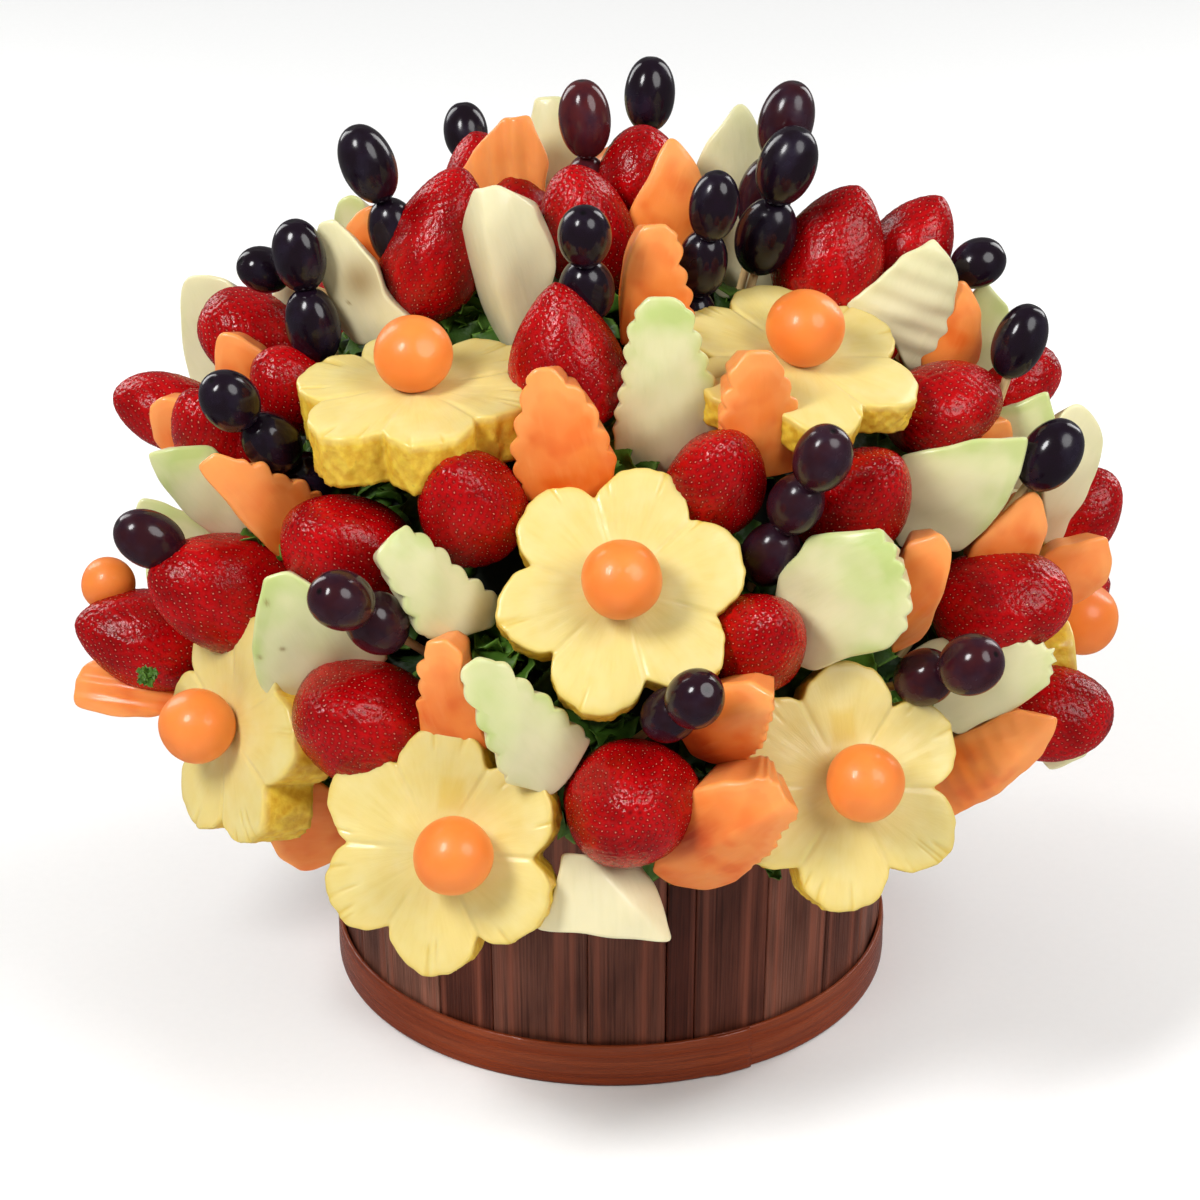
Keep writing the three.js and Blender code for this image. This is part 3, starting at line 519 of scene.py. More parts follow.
def grape(width, length, rng, red, rows=26, cols=36):
    """Grape: an oval of revolution, a little full at its shoulders, with a dimple at its outer end."""
    th, a = np.linspace(0, np.pi, rows + 2)[1:-1, None], circle(cols)[None]
    uneven = sum(0.022 / n ** 0.5 * np.cos(n * a + rng.uniform(0, TURN)) for n in (2, 3))
    r = width / 2 * np.sin(th) ** 0.93 * (1 + uneven)
    dimple = np.exp(-(r / 1.3) ** 2) * (np.cos(th) > 0)
    co = np.stack([r * np.cos(a), r * np.sin(a), length / 2 * np.cos(th) + 0 * a - 0.5 * dimple], -1)
    mark = np.stack([dimple, th / np.pi + 0 * a, np.full_like(r, red)], -1)
    return loft(co, (0, 0, length / 2 - 0.5), (0, 0, -length / 2), mark, (1, 0, red), (0, 1, red))


def stick(item, material):
    """Round bamboo skewer, 3 mm thick, from the piece's origin back towards the heart."""
    length, a = item["at"][2] - SKEWER_END, circle(12)
    z = np.array([0, -0.5, -length + 0.5, -length])[:, None]
    r = 1.5 * np.array([0.8, 1, 1, 0.7])[:, None]
    co = np.stack([r * np.cos(a), r * np.sin(a), z + 0 * a], -1)
    return loft(co, (0, 0, 0), (0, 0, -length), np.zeros_like(co), material=material)


def ball(radius, rng, at, material, rows=34, cols=52):
    """Melon ball: a sphere with slow swells and one flat where the scoop left the melon."""
    th, a = np.linspace(0, np.pi, rows + 2)[1:-1, None], circle(cols)[None]
    n = np.stack([np.sin(th) * np.cos(a), np.sin(th) * np.sin(a), np.cos(th) + 0 * a], -1)
    swell = 1 + sum(0.012 * np.sin(k * n[..., k - 3] + rng.uniform(0, 6)) for k in (3, 4))
    co = n * (radius * swell)[..., None]
    flat = direction(*rng.uniform((0, 20), (360, 50)))
    co = co - flat * (np.maximum(co @ flat - radius * 0.93, 0) * 0.5)[..., None]
    mark = np.stack([0.3 + 0.5 * n[..., 2], th / np.pi + 0 * a, np.full(n.shape[:2], rng.uniform())], -1)
    form = loft(co, (0, 0, radius), (0, 0, -radius), mark, material=material)
    return form.placed(np.eye(3), np.array([*at, radius - 1.5]))


def single_ball(item, rng):
    """Melon ball alone on its skewer."""
    return [ball(item["radius"], rng, (0, 0), 0), stick(item, 1)]


def flower_outline(a, rng, reach=41.5, petal=15.4, petals=6):
    """Distance to the petals' edge at an angle: where a ray leaves the nearest petal's circle."""
    step = TURN / petals
    which = np.round(a / step).astype(int) % petals
    off = a - np.round(a / step) * step
    wide = petal * (1 + rng.uniform(-0.035, 0.03, petals))[which]
    centre = (reach - petal) * (1 + rng.uniform(-0.02, 0.02, petals))[which]
    r = centre * np.cos(off) + np.sqrt(np.maximum(wide ** 2 - (centre * np.sin(off)) ** 2, 0))
    rough = ((5, 0.4), (9, 0.3), (17, 0.3), (31, 0.25), (53, 0.18))
    return r + sum(size * np.cos(n * a + rng.uniform(0, 6)) for n, size in rough)


def best_seen(rim):
    """Place inside an outline from which its edge is seen least aslant: the best of a grid of places."""
    way = unit(np.roll(rim, -1, 0) - np.roll(rim, 1, 0))
    share = np.stack(np.meshgrid(*[np.linspace(0.2, 0.8, 25)] * 2), -1).reshape(-1, 1, 2)
    spots = rim.min(0) + (rim.max(0) - rim.min(0)) * share
    arm = unit(rim - spots)
    slant = arm[..., 0] * way[:, 1] - arm[..., 1] * way[:, 0]
    slant *= np.sign(slant.sum(1, keepdims=True))
    return spots[slant.min(1).argmax(), 0]


def slab(rim, face, depth, taper, rows, mark_of, lumps=lambda along: 0):
    """Slab between a face and a parallel back: rings of the rim's points, drawn in to its best seen place.

    face gives the height over the plane and depth the thickness at each place. The edge of the face is
    rounded, and the wall draws in to the two taper shares of the rim at the back. lumps gives how far the
    wall swells, as a share of the distance from the centre, at a depth.
    """
    edge, edge_depth = 1.1, 0.9
    # The rings: over the face, round its edge, down the wall, and back to the middle of the back.
    rounding = ((0.62, 0.11), (0.26, 0.38), (0.04, 0.8))    # how far inside the rim, how far below the face
    falls = np.linspace(0.06, 1, rows[1])
    back = (0.97, 0.7, 0.35, 0.05)

    centre = best_seen(rim)
    arm = rim - centre
    long = np.linalg.norm(arm, axis=1)[None]
    flat = np.zeros_like(long)
    share = np.concatenate([(1 - edge / long) * s for s in np.linspace(0.04, 1, rows[0])]
                           + [1 - inset / long for inset, _ in rounding]
                           + [flat + s for s in (*np.ones(len(falls)), *back)])
    along = np.concatenate([np.zeros(rows[0] + len(rounding)), falls, np.ones(len(back))])[:, None]
    early = np.zeros((len(share), 1))
    early[rows[0]:rows[0] + len(rounding), 0] = [fall for _, fall in rounding]
    u, v = (centre[k] + arm[:, k] * share for k in (0, 1))
    top = face(u, v)
    drop = early + 0 * u + np.where(along > 0, edge_depth + along * (depth(u, v) - edge_depth), 0)
    u, v = (centre[k] + arm[:, k] * share * (1 + (taper[k] - 1) * along) * (1 + lumps(along)) for k in (0, 1))
    co = np.stack([u, v, top - drop], -1)
    return loft(co, co[0].mean(0), co[-1].mean(0), mark_of(u, v, share, np.clip(drop / 3, 0, 1)))


def flower(item, rng, cols=300, rows=(26, 14)):
    """Pineapple flower: a slab on the petals' outline.

    The face has fibre ridges that grow towards the edge, creases that run in from the notches and a few short
    slits. The wall is lumpy: cosines of the angle and the depth, which grow from the face downwards.
    """
    a = circle(cols)
    edge = eased(eased(flower_outline(a, rng)))
    rim = np.stack([edge * np.cos(a), edge * np.sin(a)], 1)
    phase = rng.uniform(0, 6, 16)
    slits = [(rng.uniform(0, TURN), rng.uniform(0.008, 0.02), rng.uniform(28, 35)) for _ in range(15)]
    half_petal = np.pi / 6

    def cuts(u, v):
        turn, r = np.arctan2(v, u), np.hypot(u, v)
        depths = [np.exp(-(((turn - at + np.pi) % TURN - np.pi) / wide) ** 2) * np.clip((r - start) / 3, 0, 1)
                  for at, wide, start in slits]
        return functools.reduce(np.maximum, depths)

    def face(u, v):
        turn, r = np.arctan2(v, u), np.hypot(u, v)
        off = (turn + half_petal) % (2 * half_petal) - half_petal
        ridge = sum(np.cos(n * turn + phase[i]) / n ** 0.35 for i, n in enumerate((14, 23, 37, 49)))
        swell = sum(np.cos(n * turn + phase[4 + i]) * np.cos(r / k + phase[8 + i])
                    for i, (n, k) in enumerate(((2, 9), (3, 6), (5, 4))))
        crease = np.exp(-((np.abs(off) - half_petal) * r / 0.9) ** 2) * np.clip((r - 13) / 10, 0, 1)
        return (0.04 * ridge * np.clip((r - 12) / 16, 0, 1) + 0.3 * swell - 0.6 * crease
                - 0.8 * np.clip((r - 35) / 7, 0, 1) ** 2 - 0.7 * cuts(u, v))

    def lumps(along):
        bumps = sum(np.cos(n * a + k * along + phase[12 + i])
                    for i, (n, k) in enumerate(((19, 5), (31, -8), (47, 13), (61, -19))))
        return 0.0045 * bumps * np.clip(along * 3, 0, 1)

    own = rng.uniform()

    def marks(u, v, share, wall):
        # Deeper yellow: painted shade in the slits, and a deeper edge and a given patch on the face.
        stain = 0.6 * cuts(u, v) + 0.6 * np.clip((share - 0.9) / 0.1, 0, 1) ** 2
        if "stain" in item:
            turn = math.radians(item["turn"])
            x, y = u * math.cos(turn) - v * math.sin(turn), u * math.sin(turn) + v * math.cos(turn)
            far = np.maximum(np.abs(x - item["stain"][0]) / 4.2, np.abs(y - item["stain"][1]) / 5.2)
            stain = np.maximum(stain, 0.6 / (1 + np.exp(8 * (far - 1))))
        return np.stack([wall, np.clip(stain, 0, 1) * (1 - wall), own + 0 * u], -1)

    body = slab(rim, face, lambda u, v: item.get("thick", 16), (0.97, 0.97), rows, marks, lumps)
    return [body, ball(13, rng, item.get("ball", (0, 0)), 1), stick(item, 2)]


def wedge_rim(item, rng, cols):
    """Outline of a melon wedge's face: its corners joined, rounded, and scalloped on the crimped sides.

    Without corners of its own it takes a rounded wedge's. A scallop is its bite times 2 (cos^2 + 0.01)^0.4
    - 1 of the run, so that broad swells meet in narrow grooves, or with a bite below 0 broad hollows meet
    in teeth.
    """
    if "rim" in item:
        corners = np.array(item["rim"], float).reshape(-1, 2)
        crimped = item.get("crimp", ())
    else:
        width, length, _ = item["size"]
        t = np.array([0, 0.3, 0.6, 0.85, 1])
        half = width / 2 * (item["tip"] + (1 - item["tip"]) * np.cos(t * np.pi / 2)) * [0.92, 1, 1, 0.97, 0.7]
        side = np.stack([half * rng.uniform(0.93, 1.07, 5), (t - 0.5) * length], 1)
        corners = np.concatenate([side, (side * (-1, 1))[::-1]])
        crimped = (0, 1, 2, 3, 5, 6, 7, 8) if item["crimp"] else ()
    spans = np.linalg.norm(np.roll(corners, -1, 0) - corners, axis=1)
    run = np.concatenate([[0], np.cumsum(spans)])
    around = run[-1]
    at = np.linspace(0, around, cols, endpoint=False)
    rim = np.stack([np.interp(at, run, np.append(corners[:, k], corners[0, k])) for k in (0, 1)], 1)
    which = np.clip(np.searchsorted(run, at, "right") - 1, 0, len(corners) - 1)
    rough = np.isin(which, crimped).astype(float)
    for _ in range(int(3 * (cols / around) ** 2) + 1):
        rim, rough = eased(rim), eased(rough)
    way = np.roll(rim, -1, 0) - np.roll(rim, 1, 0)
    out = unit(np.stack([way[:, 1], -way[:, 0]], 1))
    out *= np.sign((out * (rim - rim.mean(0))).sum())
    bend = TURN * at / (around / max(round(around / item.get("pitch", 9.3)), 1))
    swells = 2 * (np.cos(bend / 2 + rng.uniform(0, 3)) ** 2 + 0.01) ** 0.4 - 1
    scallop = swells * item.get("bite", 1.15) * rough
    uneven = sum(size * np.cos(TURN * n * at / around + rng.uniform(0, 6))
                 for n, size in ((3, 0.25), (7, 0.2)))
    return rim + out * (scallop + uneven)[:, None]


def wedge(item, rng, cols=150, rows=(22, 8)):
    """Melon wedge: a slab with a face bowed like the melon, a crown, and maybe a crest or ribs.

    The crest folds the face along a line, on one side only where it leans by 1, and ribs are waves across
    it. The wedge is thinner towards its tip. A darker patch falls off as a Gaussian: real stains on some
    wedges and painted shade on others.
    """
    width, length, thick = item["size"]
    melon = 170     # twice the melon's radius along the wedge
    rim = wedge_rim(item, rng, item.get("cols", cols))
    phase = rng.uniform(0, 6, 5)
    fold_at, fold, fold_turn = item.get("crest", (0, 0, 0))
    ribs, rib_pitch, rib_turn = item.get("ribs", (0, 10, 0))
    fold_turn, rib_turn = math.radians(fold_turn), math.radians(rib_turn)

    def face(u, v):
        across = u * math.cos(fold_turn) + v * math.sin(fold_turn) - fold_at
        along = v * math.cos(rib_turn) + u * math.sin(rib_turn)
        return (thick / 2 - v ** 2 / melon - item.get("crown", 0.14) * thick * (2 * u / width) ** 2
                - fold * (np.sqrt(across ** 2 + 2) - 1.4 - item.get("lean", 0) * across)
                + ribs * np.cos(TURN * along / rib_pitch + phase[0])
                + 0.3 * np.cos(u / 5 + phase[1]) * np.cos(v / 8 + phase[2])
                + 0.16 * np.cos(v / 3.1 + u / 4 + phase[3]))

    own = rng.uniform()

    def up(v):
        return np.clip(v / length + 0.5, 0, 1)

    def marks(u, v, share, wall):
        tipward = up(v)
        tipward = np.clip(tipward + 0.9 * tipward * np.clip((share - 0.72) / 0.28, 0, 1), 0, 1)
        # Darker patches: real stains on some honeydews, painted shade on the cantaloupes and on one honeydew.
        stain = 0 * u
        for x, z, wide, high, strength in item.get("stains", ()):
            stain = np.maximum(stain, strength * np.exp(-((u - x) / wide) ** 2 - ((v - z) / high) ** 2))
        return np.stack([wall - stain * (wall < 0.01), tipward * item.get("tipward", 1), own + 0 * u], -1)

    form = slab(rim, face, lambda u, v: thick * (1 - 0.35 * up(v) ** 2), (0.5, 0.72), rows, marks)
    return [Form(form.co[:, [0, 2, 1]], form.quads, form.tris, form.mark)]


def grape_row(item, rng):
    """Grapes end to end on a skewer, from the outermost inwards, each of its own size and a little off."""
    width, length = item.get("size", (18, 26))
    forms = [stick(item, 1)]
    for i in range(item["count"]):
        grow = rng.uniform(0.94, 1.04) if i else 1
        tilt = direction(*rng.uniform((0, 80), (360, 90)))
        side = unit(np.cross(tilt, (1, 0, 0)))
        one = grape(width * grow, length * grow, rng, item.get("red", 0.05))
        forms.append(one.placed(np.stack([np.cross(side, tilt), side, tilt], 1),
                                np.array([*rng.uniform(-0.5, 0.5, 2), -i * (length - 1.2)])))
    return forms


def leaves(rng, at, out, sizes, stand=(5, 50), rows=9, cols=14):
    """Curly leaves: flat closed blades, pointed ovals folded along the rib and ruffled at the edge.

    Each has a place and an outward direction. The ruffle grows with the square of the distance from the
    rib, and the blade leans out from the heap by a drawn angle.
    """
    each = (len(at), 1, 1)
    v, s = np.linspace(0, 1, rows + 2)[1:-1][None, :, None], circle(cols)[None, None]
    long = sizes[0] * rng.uniform(0.75, 1.25, each)
    wide = sizes[1] * rng.uniform(0.8, 1.2, each)
    w = wide * np.sin(np.pi * v ** 0.8) ** 0.8
    edge = np.cos(s)
    x = w * edge
    phase = rng.uniform(0, TURN, each)
    ruffle = np.sin(TURN * v * rng.uniform(2.2, 3.6, each) + phase + np.sign(edge) * 1.1)
    z = (0.22 * np.abs(edge) * w + edge ** 2 * ruffle * wide * 0.38 + 0.35 * np.sin(s)
         - long * 0.25 * v ** 2 * rng.uniform(0.2, 1.6, each))
    y = long * v + 0 * x + 0.6 * np.cos(7 * np.pi * v + phase) * np.abs(edge)
    blade = np.stack([x, y, z], -1)
    tips = np.zeros((len(at), 2, 3))
    tips[:, 1, 1], tips[:, 1, 2] = long[:, 0, 0], z[:, -1].mean(1)
    points = np.concatenate([blade.reshape(len(at), -1, 3), tips], 1)
    along = unit(np.cross(out, rng.normal(size=out.shape)))
    lean = np.radians(rng.uniform(*stand, (len(at), 1)))
    along = along * np.cos(lean) + out * np.sin(lean)
    across = unit(np.cross(along, out))
    one = loft(blade[0], *tips[0], np.zeros_like(blade[0]))
    co, quads, tris = copies(points, one.quads, one.tris, at, (across, along, np.cross(across, along)))
    rim = np.ones(points.shape[:2])
    rim[:, :-2] = (edge ** 2 + 0 * x).reshape(len(at), -1)
    tone = np.repeat(rng.uniform(0, 1, len(at)), points.shape[1])
    return Form(co, quads, tris, np.stack([rim.ravel(), 0 * tone, tone], 1))


def dome_points(count, rng, low, high, inset):
    """Places spread evenly over the heap of greens between two rises, and their outward directions."""
    lo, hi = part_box("greens_bed")
    reach, top = (hi[0] - lo[0]) / 2 / MM - inset, hi[2] / MM - SHOULDER - inset
    low, high = math.sin(math.radians(low)), math.sin(math.radians(high))
    rise = np.arcsin(low + (np.arange(count) + 0.5) / count * (high - low))
    turn = np.arange(count) * GOLDEN + rng.normal(0, 0.12, count)
    ways = np.stack([np.cos(rise) * np.cos(turn), np.cos(rise) * np.sin(turn), np.sin(rise)], 1)
    return ways * (reach, reach, top) + (0, 0, SHOULDER), unit(ways * (1 / reach, 1 / reach, 1 / top))


def oblong(count, flat_across, flat_up):
    """Outline of a rounded oblong, from -1 to 1 each way: the cosine and the sine raised to small powers."""
    c, s = np.cos(circle(count)), np.sin(circle(count))
    return np.sign(c) * np.abs(c) ** flat_across, np.sign(s) * np.abs(s) ** flat_up


def unrolled(form, co, first, last):
    """The form with the places its grain is laid over instead of its own local points."""
    form.local = np.concatenate([co.reshape(-1, 3), [first, last]])
    return form


def slat(start, width, tone, foot, rim, height, wall, rng, rows=12):
    """Basket stave: a flat slat on the chord between two joints, rounded in section, flared upwards."""
    joint = 0.16    # half the gap at a joint, in degrees
    z = np.concatenate([[0, 0.5], np.linspace(2, height - 2, rows), [height - 0.4, height]])
    first, last = (direction(angle, 0)[:2] for angle in (start + joint, start + width - joint))
    mid, way = (first + last) / 2, (last - first) / 2
    out = unit(mid)
    u, w = oblong(40, 0.25, 0.45)
    radius = foot + (rim - foot) * z / height + rng.uniform(-0.3, 0.25)
    bow = 0.4 * rng.uniform(-1, 1) * np.sin(np.pi * z / height)
    ease = np.where((z < 0.4) | (z > height - 0.2), 0.7, 1.0)
    flat = (mid * radius[:, None])[:, None] + way * (radius[:, None] * u)[..., None]
    flat = flat + out * (-wall / 2 + bow[:, None] + wall / 2 * ease[:, None] * w)[..., None]
    ripple = sum(size * np.cos(n * u + rng.uniform(0, 6)) for n, size in ((11, 0.1), (23, 0.07)))
    flat = flat + out * (ripple * (w > 0))[None, :, None]
    up = z[:, None] + 0 * u
    co = np.concatenate([flat, up[..., None]], -1)
    form = loft(co, co[0].mean(0), co[-1].mean(0), np.stack([u + 0 * up, up / height, 0 * up + tone], -1))
    return unrolled(form, np.stack([u * width * 0.9 + 0 * up, 0 * up, up], -1), (0, 0, 0), (0, 0, height))


def band(outer, inner, height, lap, splice=29, cols=320):
    """Foot band: a grooved strip carried once round the basket, its end lapped over its start."""
    run = np.linspace(0, 1, cols)[:, None] * (360 + lap)
    turn = np.radians(splice - lap + run)
    over = np.clip((run - 360) / 1.5, 0, 1)
    tuck = np.clip(1 - run / (lap + 8), 0, 1)
    u, v = oblong(48, 0.4, 0.3)
    bulge = 0.55 * (1 - v ** 2) - 0.34 * np.cos(v * 9.5) * (1 - v ** 2)
    depth = (outer - inner) * (0.5 + 0.5 * u)
    r = inner + depth * (1 - 0.45 * tuck) + np.where(u > 0, bulge, 0) * 0.8 - 0.8 + 0.75 * over
    r = r + 0.12 * np.sin(3 * turn + 1)
    z = height / 2 * (1 + v) + 0 * r
    co = np.stack([r * np.sin(turn), -r * np.cos(turn), z], -1)
    form = loft(co, co[0].mean(0), co[-1].mean(0), np.stack([v + 0 * r, turn + 0 * r, 0 * r], -1))
    return unrolled(form, np.stack([turn * outer + 0 * r, 0 * r, z], -1),
                    *((turn[k, 0] * outer, 0, height / 2) for k in (0, -1)))


def heap(inside, reach, top):
    """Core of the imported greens: a turned profile that fills the basket and swells to a lumpy dome."""
    rise = np.linspace(0, np.pi / 2, 26)[:-1]
    r = np.concatenate([[inside - 3, inside - 1, inside - 1, 100, 120], reach * np.cos(rise)])[:, None]
    z = np.concatenate([[8, 12, 100, 108, 118], SHOULDER + (top - SHOULDER) * np.sin(rise)])[:, None]
    a = circle(90)
    lump = 1 + 0.02 * np.sin(5 * a + z / 14) * np.sin(3 * a - z / 22) * (z > 112)
    co = np.stack([r * lump * np.cos(a), r * lump * np.sin(a), z + 0 * a], -1)
    return loft(co, (0, 0, 7), (0, 0, top), np.zeros_like(co))


# ---- Materials ----
def add(tree, kind, inputs=None, out=0, **settings):
    """Adds a shader node, sets its properties and its inputs, and gives back one of its outputs.

    An input takes another node's output, a number, a vector or an sRGB hex colour.
    """
    node = tree.nodes.new("ShaderNode" + kind)
    for key, value in settings.items():
        setattr(node, key, value)
    for key, value in (inputs or {}).items():
        if isinstance(value, bpy.types.NodeSocket):
            tree.links.new(value, node.inputs[key])
        else:
            node.inputs[key].default_value = linear(value) if isinstance(value, str) else value
    return node if out is None else node.outputs[out]


def span(*row):
    """Inputs of a range: its value, the two ends it comes from and the two it goes to."""
    return dict(zip(("Value", 1, 2, 3, 4), row))


def films(node, colour, *rows):
    """A colour with films over it: each a mask, a colour, and maybe the mask's two ends and its strength."""
    for mask, film, *ends in rows:
        if ends:
            mask = node("MapRange", span(mask, *ends[:2], 0.0, *ends[2:]))
        colour = node("Mix", {0: mask, 6: colour, 7: film}, 2, data_type="RGBA")
    return colour


def strawberry_skin(node, spot, noise, mark, tint):
    """Deep red, painted shade in the seeds' pits, pinkish at the leaf end, beaded so that it glitters."""
    cloud, grain, bead = noise
    # Painted shade: the skin darkens towards the bottom of each seed's pit.
    colour = films(node, tint.strawberry, (cloud, "#8A0204", 0.35, 0.65),
                   (mark["X"], "#4A0004", 0.25, 1.0, 0.65), (mark["Y"], "#E2A88C", 0.04, 0.0, 0.6))
    return colour, (grain, 0.3), (bead, 0.3, 0.7, 0.1, 0.26)


def seed_husk(node, spot, noise, mark, tint):
    """Moist husk: dull red-brown to pale pink, one tone to each."""
    return films(node, "#96301E", (mark["Z"], tint.seed, 0.25, 1.0)), None, None


def grape_skin(node, spot, noise, mark, tint):
    """Tight glossy skin, near black with a purple or red cast, under a thin uneven bloom."""
    cloud, bloom = noise
    bloom = node("MapRange", span(bloom, 0.45, 0.7, 0.0, 0.16))
    colour = films(node, tint.grape, (mark["Z"], "#4E1A1C"), (cloud, "#190C1C", 0.4, 0.7, 0.55),
                   (bloom, "#3E3C54"), (mark["X"], "#060406", 0.25, 0.8))
    return colour, (cloud, 0.12), (bloom, 0.0, 0.16, 0.16, 0.32)


def honeydew_flesh(node, spot, noise, mark, tint):
    """Peeled honeydew: cream flesh that turns pale green under the peel and towards the tip, moist."""
    cloud, veins, gloss = noise
    shares = [node("MapRange", span(*row)) for row in ((mark["Y"], 0.1, 0.95), (cloud, 0.35, 0.62, 0.4, 1.0),
                                                       (mark["X"], 0.0, 0.7, 1.0, 0.25))]
    green = functools.reduce(lambda a, b: node("Math", {0: a, 1: b}, operation="MULTIPLY"), shares)
    # Brown where a darker patch is set: real stains on some wedges, painted shadow on one.
    colour = films(node, tint.honeydew, (green, tint.honeydew_green), (veins, "#B9B478", 0.5, 0.8, 0.12),
                   (mark["X"], "#7E5C22", 0.0, -1.0))
    return colour, (veins, 0.2), (gloss, 0.3, 0.7, 0.32, 0.5)


def cantaloupe_flesh(node, spot, noise, mark, tint):
    """Peeled cantaloupe: orange flesh, paler at the tip, with deeper patches and faint veins along it."""
    cloud, veins, gloss, deep = noise
    # Painted shade: where a wedge's darker patch is set, the orange deepens to red-brown as in shadow.
    colour = films(node, tint.cantaloupe, (cloud, "#E87326", 0.35, 0.65), (deep, "#DC5C14", 0.5, 0.72, 0.6),
                   (mark["X"], "#DC5A12", 0.2, 1.0, 0.7), (mark["Y"], "#F4A45C", 0.55, 1.0, 0.6),
                   (mark["X"], "#A43404", 0.0, -1.0), (veins, "#F6A65E", 0.54, 0.8, 0.2))
    return colour, (veins, 0.2), (gloss, 0.3, 0.7, 0.32, 0.5)


def ball_flesh(node, spot, noise, mark, tint):
    """Scooped cantaloupe: smooth even orange, a little deeper on one side, moist."""
    cloud, fine = noise
    return films(node, tint.ball, (cloud, "#E06C1E", 0.42, 0.6, 0.5)), (fine, 0.05), None


def pineapple_flesh(node, spot, noise, mark, tint):
    """Cut pineapple: pale yellow face, deeper at its edge, fibres that run outwards, and a golden wall."""
    cloud, pits, speck = noise
    flat = node("VectorMath", {0: spot, 1: (1, 1, 0)}, operation="MULTIPLY")
    ray = node("VectorMath", {0: node("VectorMath", {0: flat}, operation="NORMALIZE"), 1: (18, 18, 18)},
               operation="MULTIPLY")
    slow = node("VectorMath", {0: spot, 1: (0.12, 0.12, 0.3)}, operation="MULTIPLY")
    fibre = node("TexNoise", {"Vector": node("VectorMath", {0: ray, 1: slow}), "Scale": 1 / 1.8,
                              "Detail": 4.0, "Roughness": 0.6})
    wall = films(node, "#D0A02A", (pits, tint.pineapple_wall, 0.36, 0.64),
                 (speck, "#8A7420", 0.68, 0.76, 0.3))
    # The Y mark deepens the yellow: painted shade in the slits, and the face's deeper edge and given patches.
    colour = films(node, tint.pineapple, (fibre, "#C8AA46", 0.45, 0.75, 0.22),
                   (cloud, "#DDD092", 0.42, 0.68, 0.5), (mark["Y"], "#CFAE3A", 0.05, 1.0, 0.85),
                   (mark["X"], wall))
    rugged = node("Math", {0: pits, 1: 0.45}, operation="MULTIPLY")
    rugged = node("Math", {0: mark["X"], 1: rugged}, operation="MULTIPLY")
    height = node("Math", {0: node("Math", {0: fibre, 1: 0.14}, operation="MULTIPLY"), 1: rugged})
    return colour, height, (fibre, 0.3, 0.7, 0.5, 0.34)


def stave_stain(node, spot, noise, mark, tint):
    """Stained bamboo slat: brown from slat to slat, dark and light streaks up it, worn satin lacquer."""
    cloud, grain, broad = noise
    colour = films(node, "#4E1D10", (mark["Z"], tint.stave), (cloud, "#38150A", 0.4, 0.66, 0.6),
                   (grain, "#2A0E06", 0.42, 0.68, 0.7), (broad, "#94503A", 0.5, 0.7, 0.55))
    return colour, (grain, 0.35), (grain, 0.3, 0.7, 0.36, 0.55)


def band_stain(node, spot, noise, mark, tint):
    """Stained bamboo band: red-brown, grain drawn out round the basket, glossy lacquer on its ridges."""
    grain, broad = noise
    colour = films(node, tint.band, (grain, "#561A08", 0.4, 0.75, 0.8), (broad, "#A0583A", 0.48, 0.72, 0.5))
    return colour, (grain, 0.4), (grain, 0.3, 0.7, 0.2, 0.36)


def leaf_blade(node, spot, noise, mark, tint):
    """Curly kale blade: deep green, lighter at the frilled edge, waxy."""
    colour = films(node, "#14260A", (mark["Z"], tint.leaf), (mark["X"], "#7CA843", 0.6, 1.0, 0.45))
    return colour, (noise[0], 0.5), None


def shaded_packed_leaf(node, spot, noise, mark, tint):
    """Leaves packed down in the basket, painted almost black as painted shade between the folds."""
    return films(node, "#040803", (noise[0], "#142410")), noise[0], None


def split_bamboo(node, spot, noise, mark, tint):
    """Split bamboo skewer: pale straw with grain along it."""
    return films(node, "#DDC48E", (noise[0], "#A57C48")), None, None


def studio_paper(node, spot, noise, mark, tint):
    """Matt paper with a barely seen tooth."""
    tooth = node("TexNoise", {"Vector": node("TexCoord", out="Object"), "Scale": 300.0})
    return films(node, "#F8F8F7", (tooth, "#F5F5F4")), None, None


def finish(name, paint, noises, roughness, **shader):
    """Material of a paint function, which gives its colour, and its height and roughness or None.

    Each noise is a grain in millimetres, a detail, a roughness and how much finer it is each way. A height
    is a noise and its share of a millimetre, and a roughness is a noise and a range.
    """
    made = bpy.data.materials.new(name)
    made.use_nodes = True
    tree = made.node_tree
    tree.nodes.clear()
    node = functools.partial(add, tree)
    mark = tree.nodes.new("ShaderNodeSeparateXYZ")
    tree.links.new(node("Attribute", out="Vector", attribute_name="mark"), mark.inputs[0])
    mark = mark.outputs
    spot = node("Attribute", out="Vector", attribute_name="local")
    if paint is not pineapple_flesh:    # its fibres have to run out from the middle of each flower
        own = node("Math", {0: mark["Z"], 1: PATTERN_STEP}, operation="MULTIPLY")
        spot = node("VectorMath", {0: spot, 1: node("CombineXYZ", {"Z": own})})
    noise = []
    for given in noises:
        grain, detail, rough, finer = given + (2.0, 0.5, None)[len(given) - 1:]
        place = node("VectorMath", {0: spot, 1: finer}, operation="MULTIPLY") if finer else spot
        noise.append(node("TexNoise", {"Vector": place, "Scale": 1 / grain, "Detail": detail,
                                       "Roughness": rough}))
    colour, height, rough = paint(node, spot, noise, mark, bpy.context.scene.bouquet_colours)
    surface = {"Base Color": colour, "Roughness": node("MapRange", span(*rough)) if rough else roughness}
    surface.update({key.replace("_", " "): value for key, value in shader.items()})
    if isinstance(height, tuple):
        height = node("Math", dict(enumerate(height)), operation="MULTIPLY")
    if height is not None:
        surface["Normal"] = node("Bump", {"Height": height, "Distance": MM}, out="Normal")
    node("OutputMaterial", {"Surface": node("BsdfPrincipled", surface)}, out=None)
    return made


MATERIALS = {}


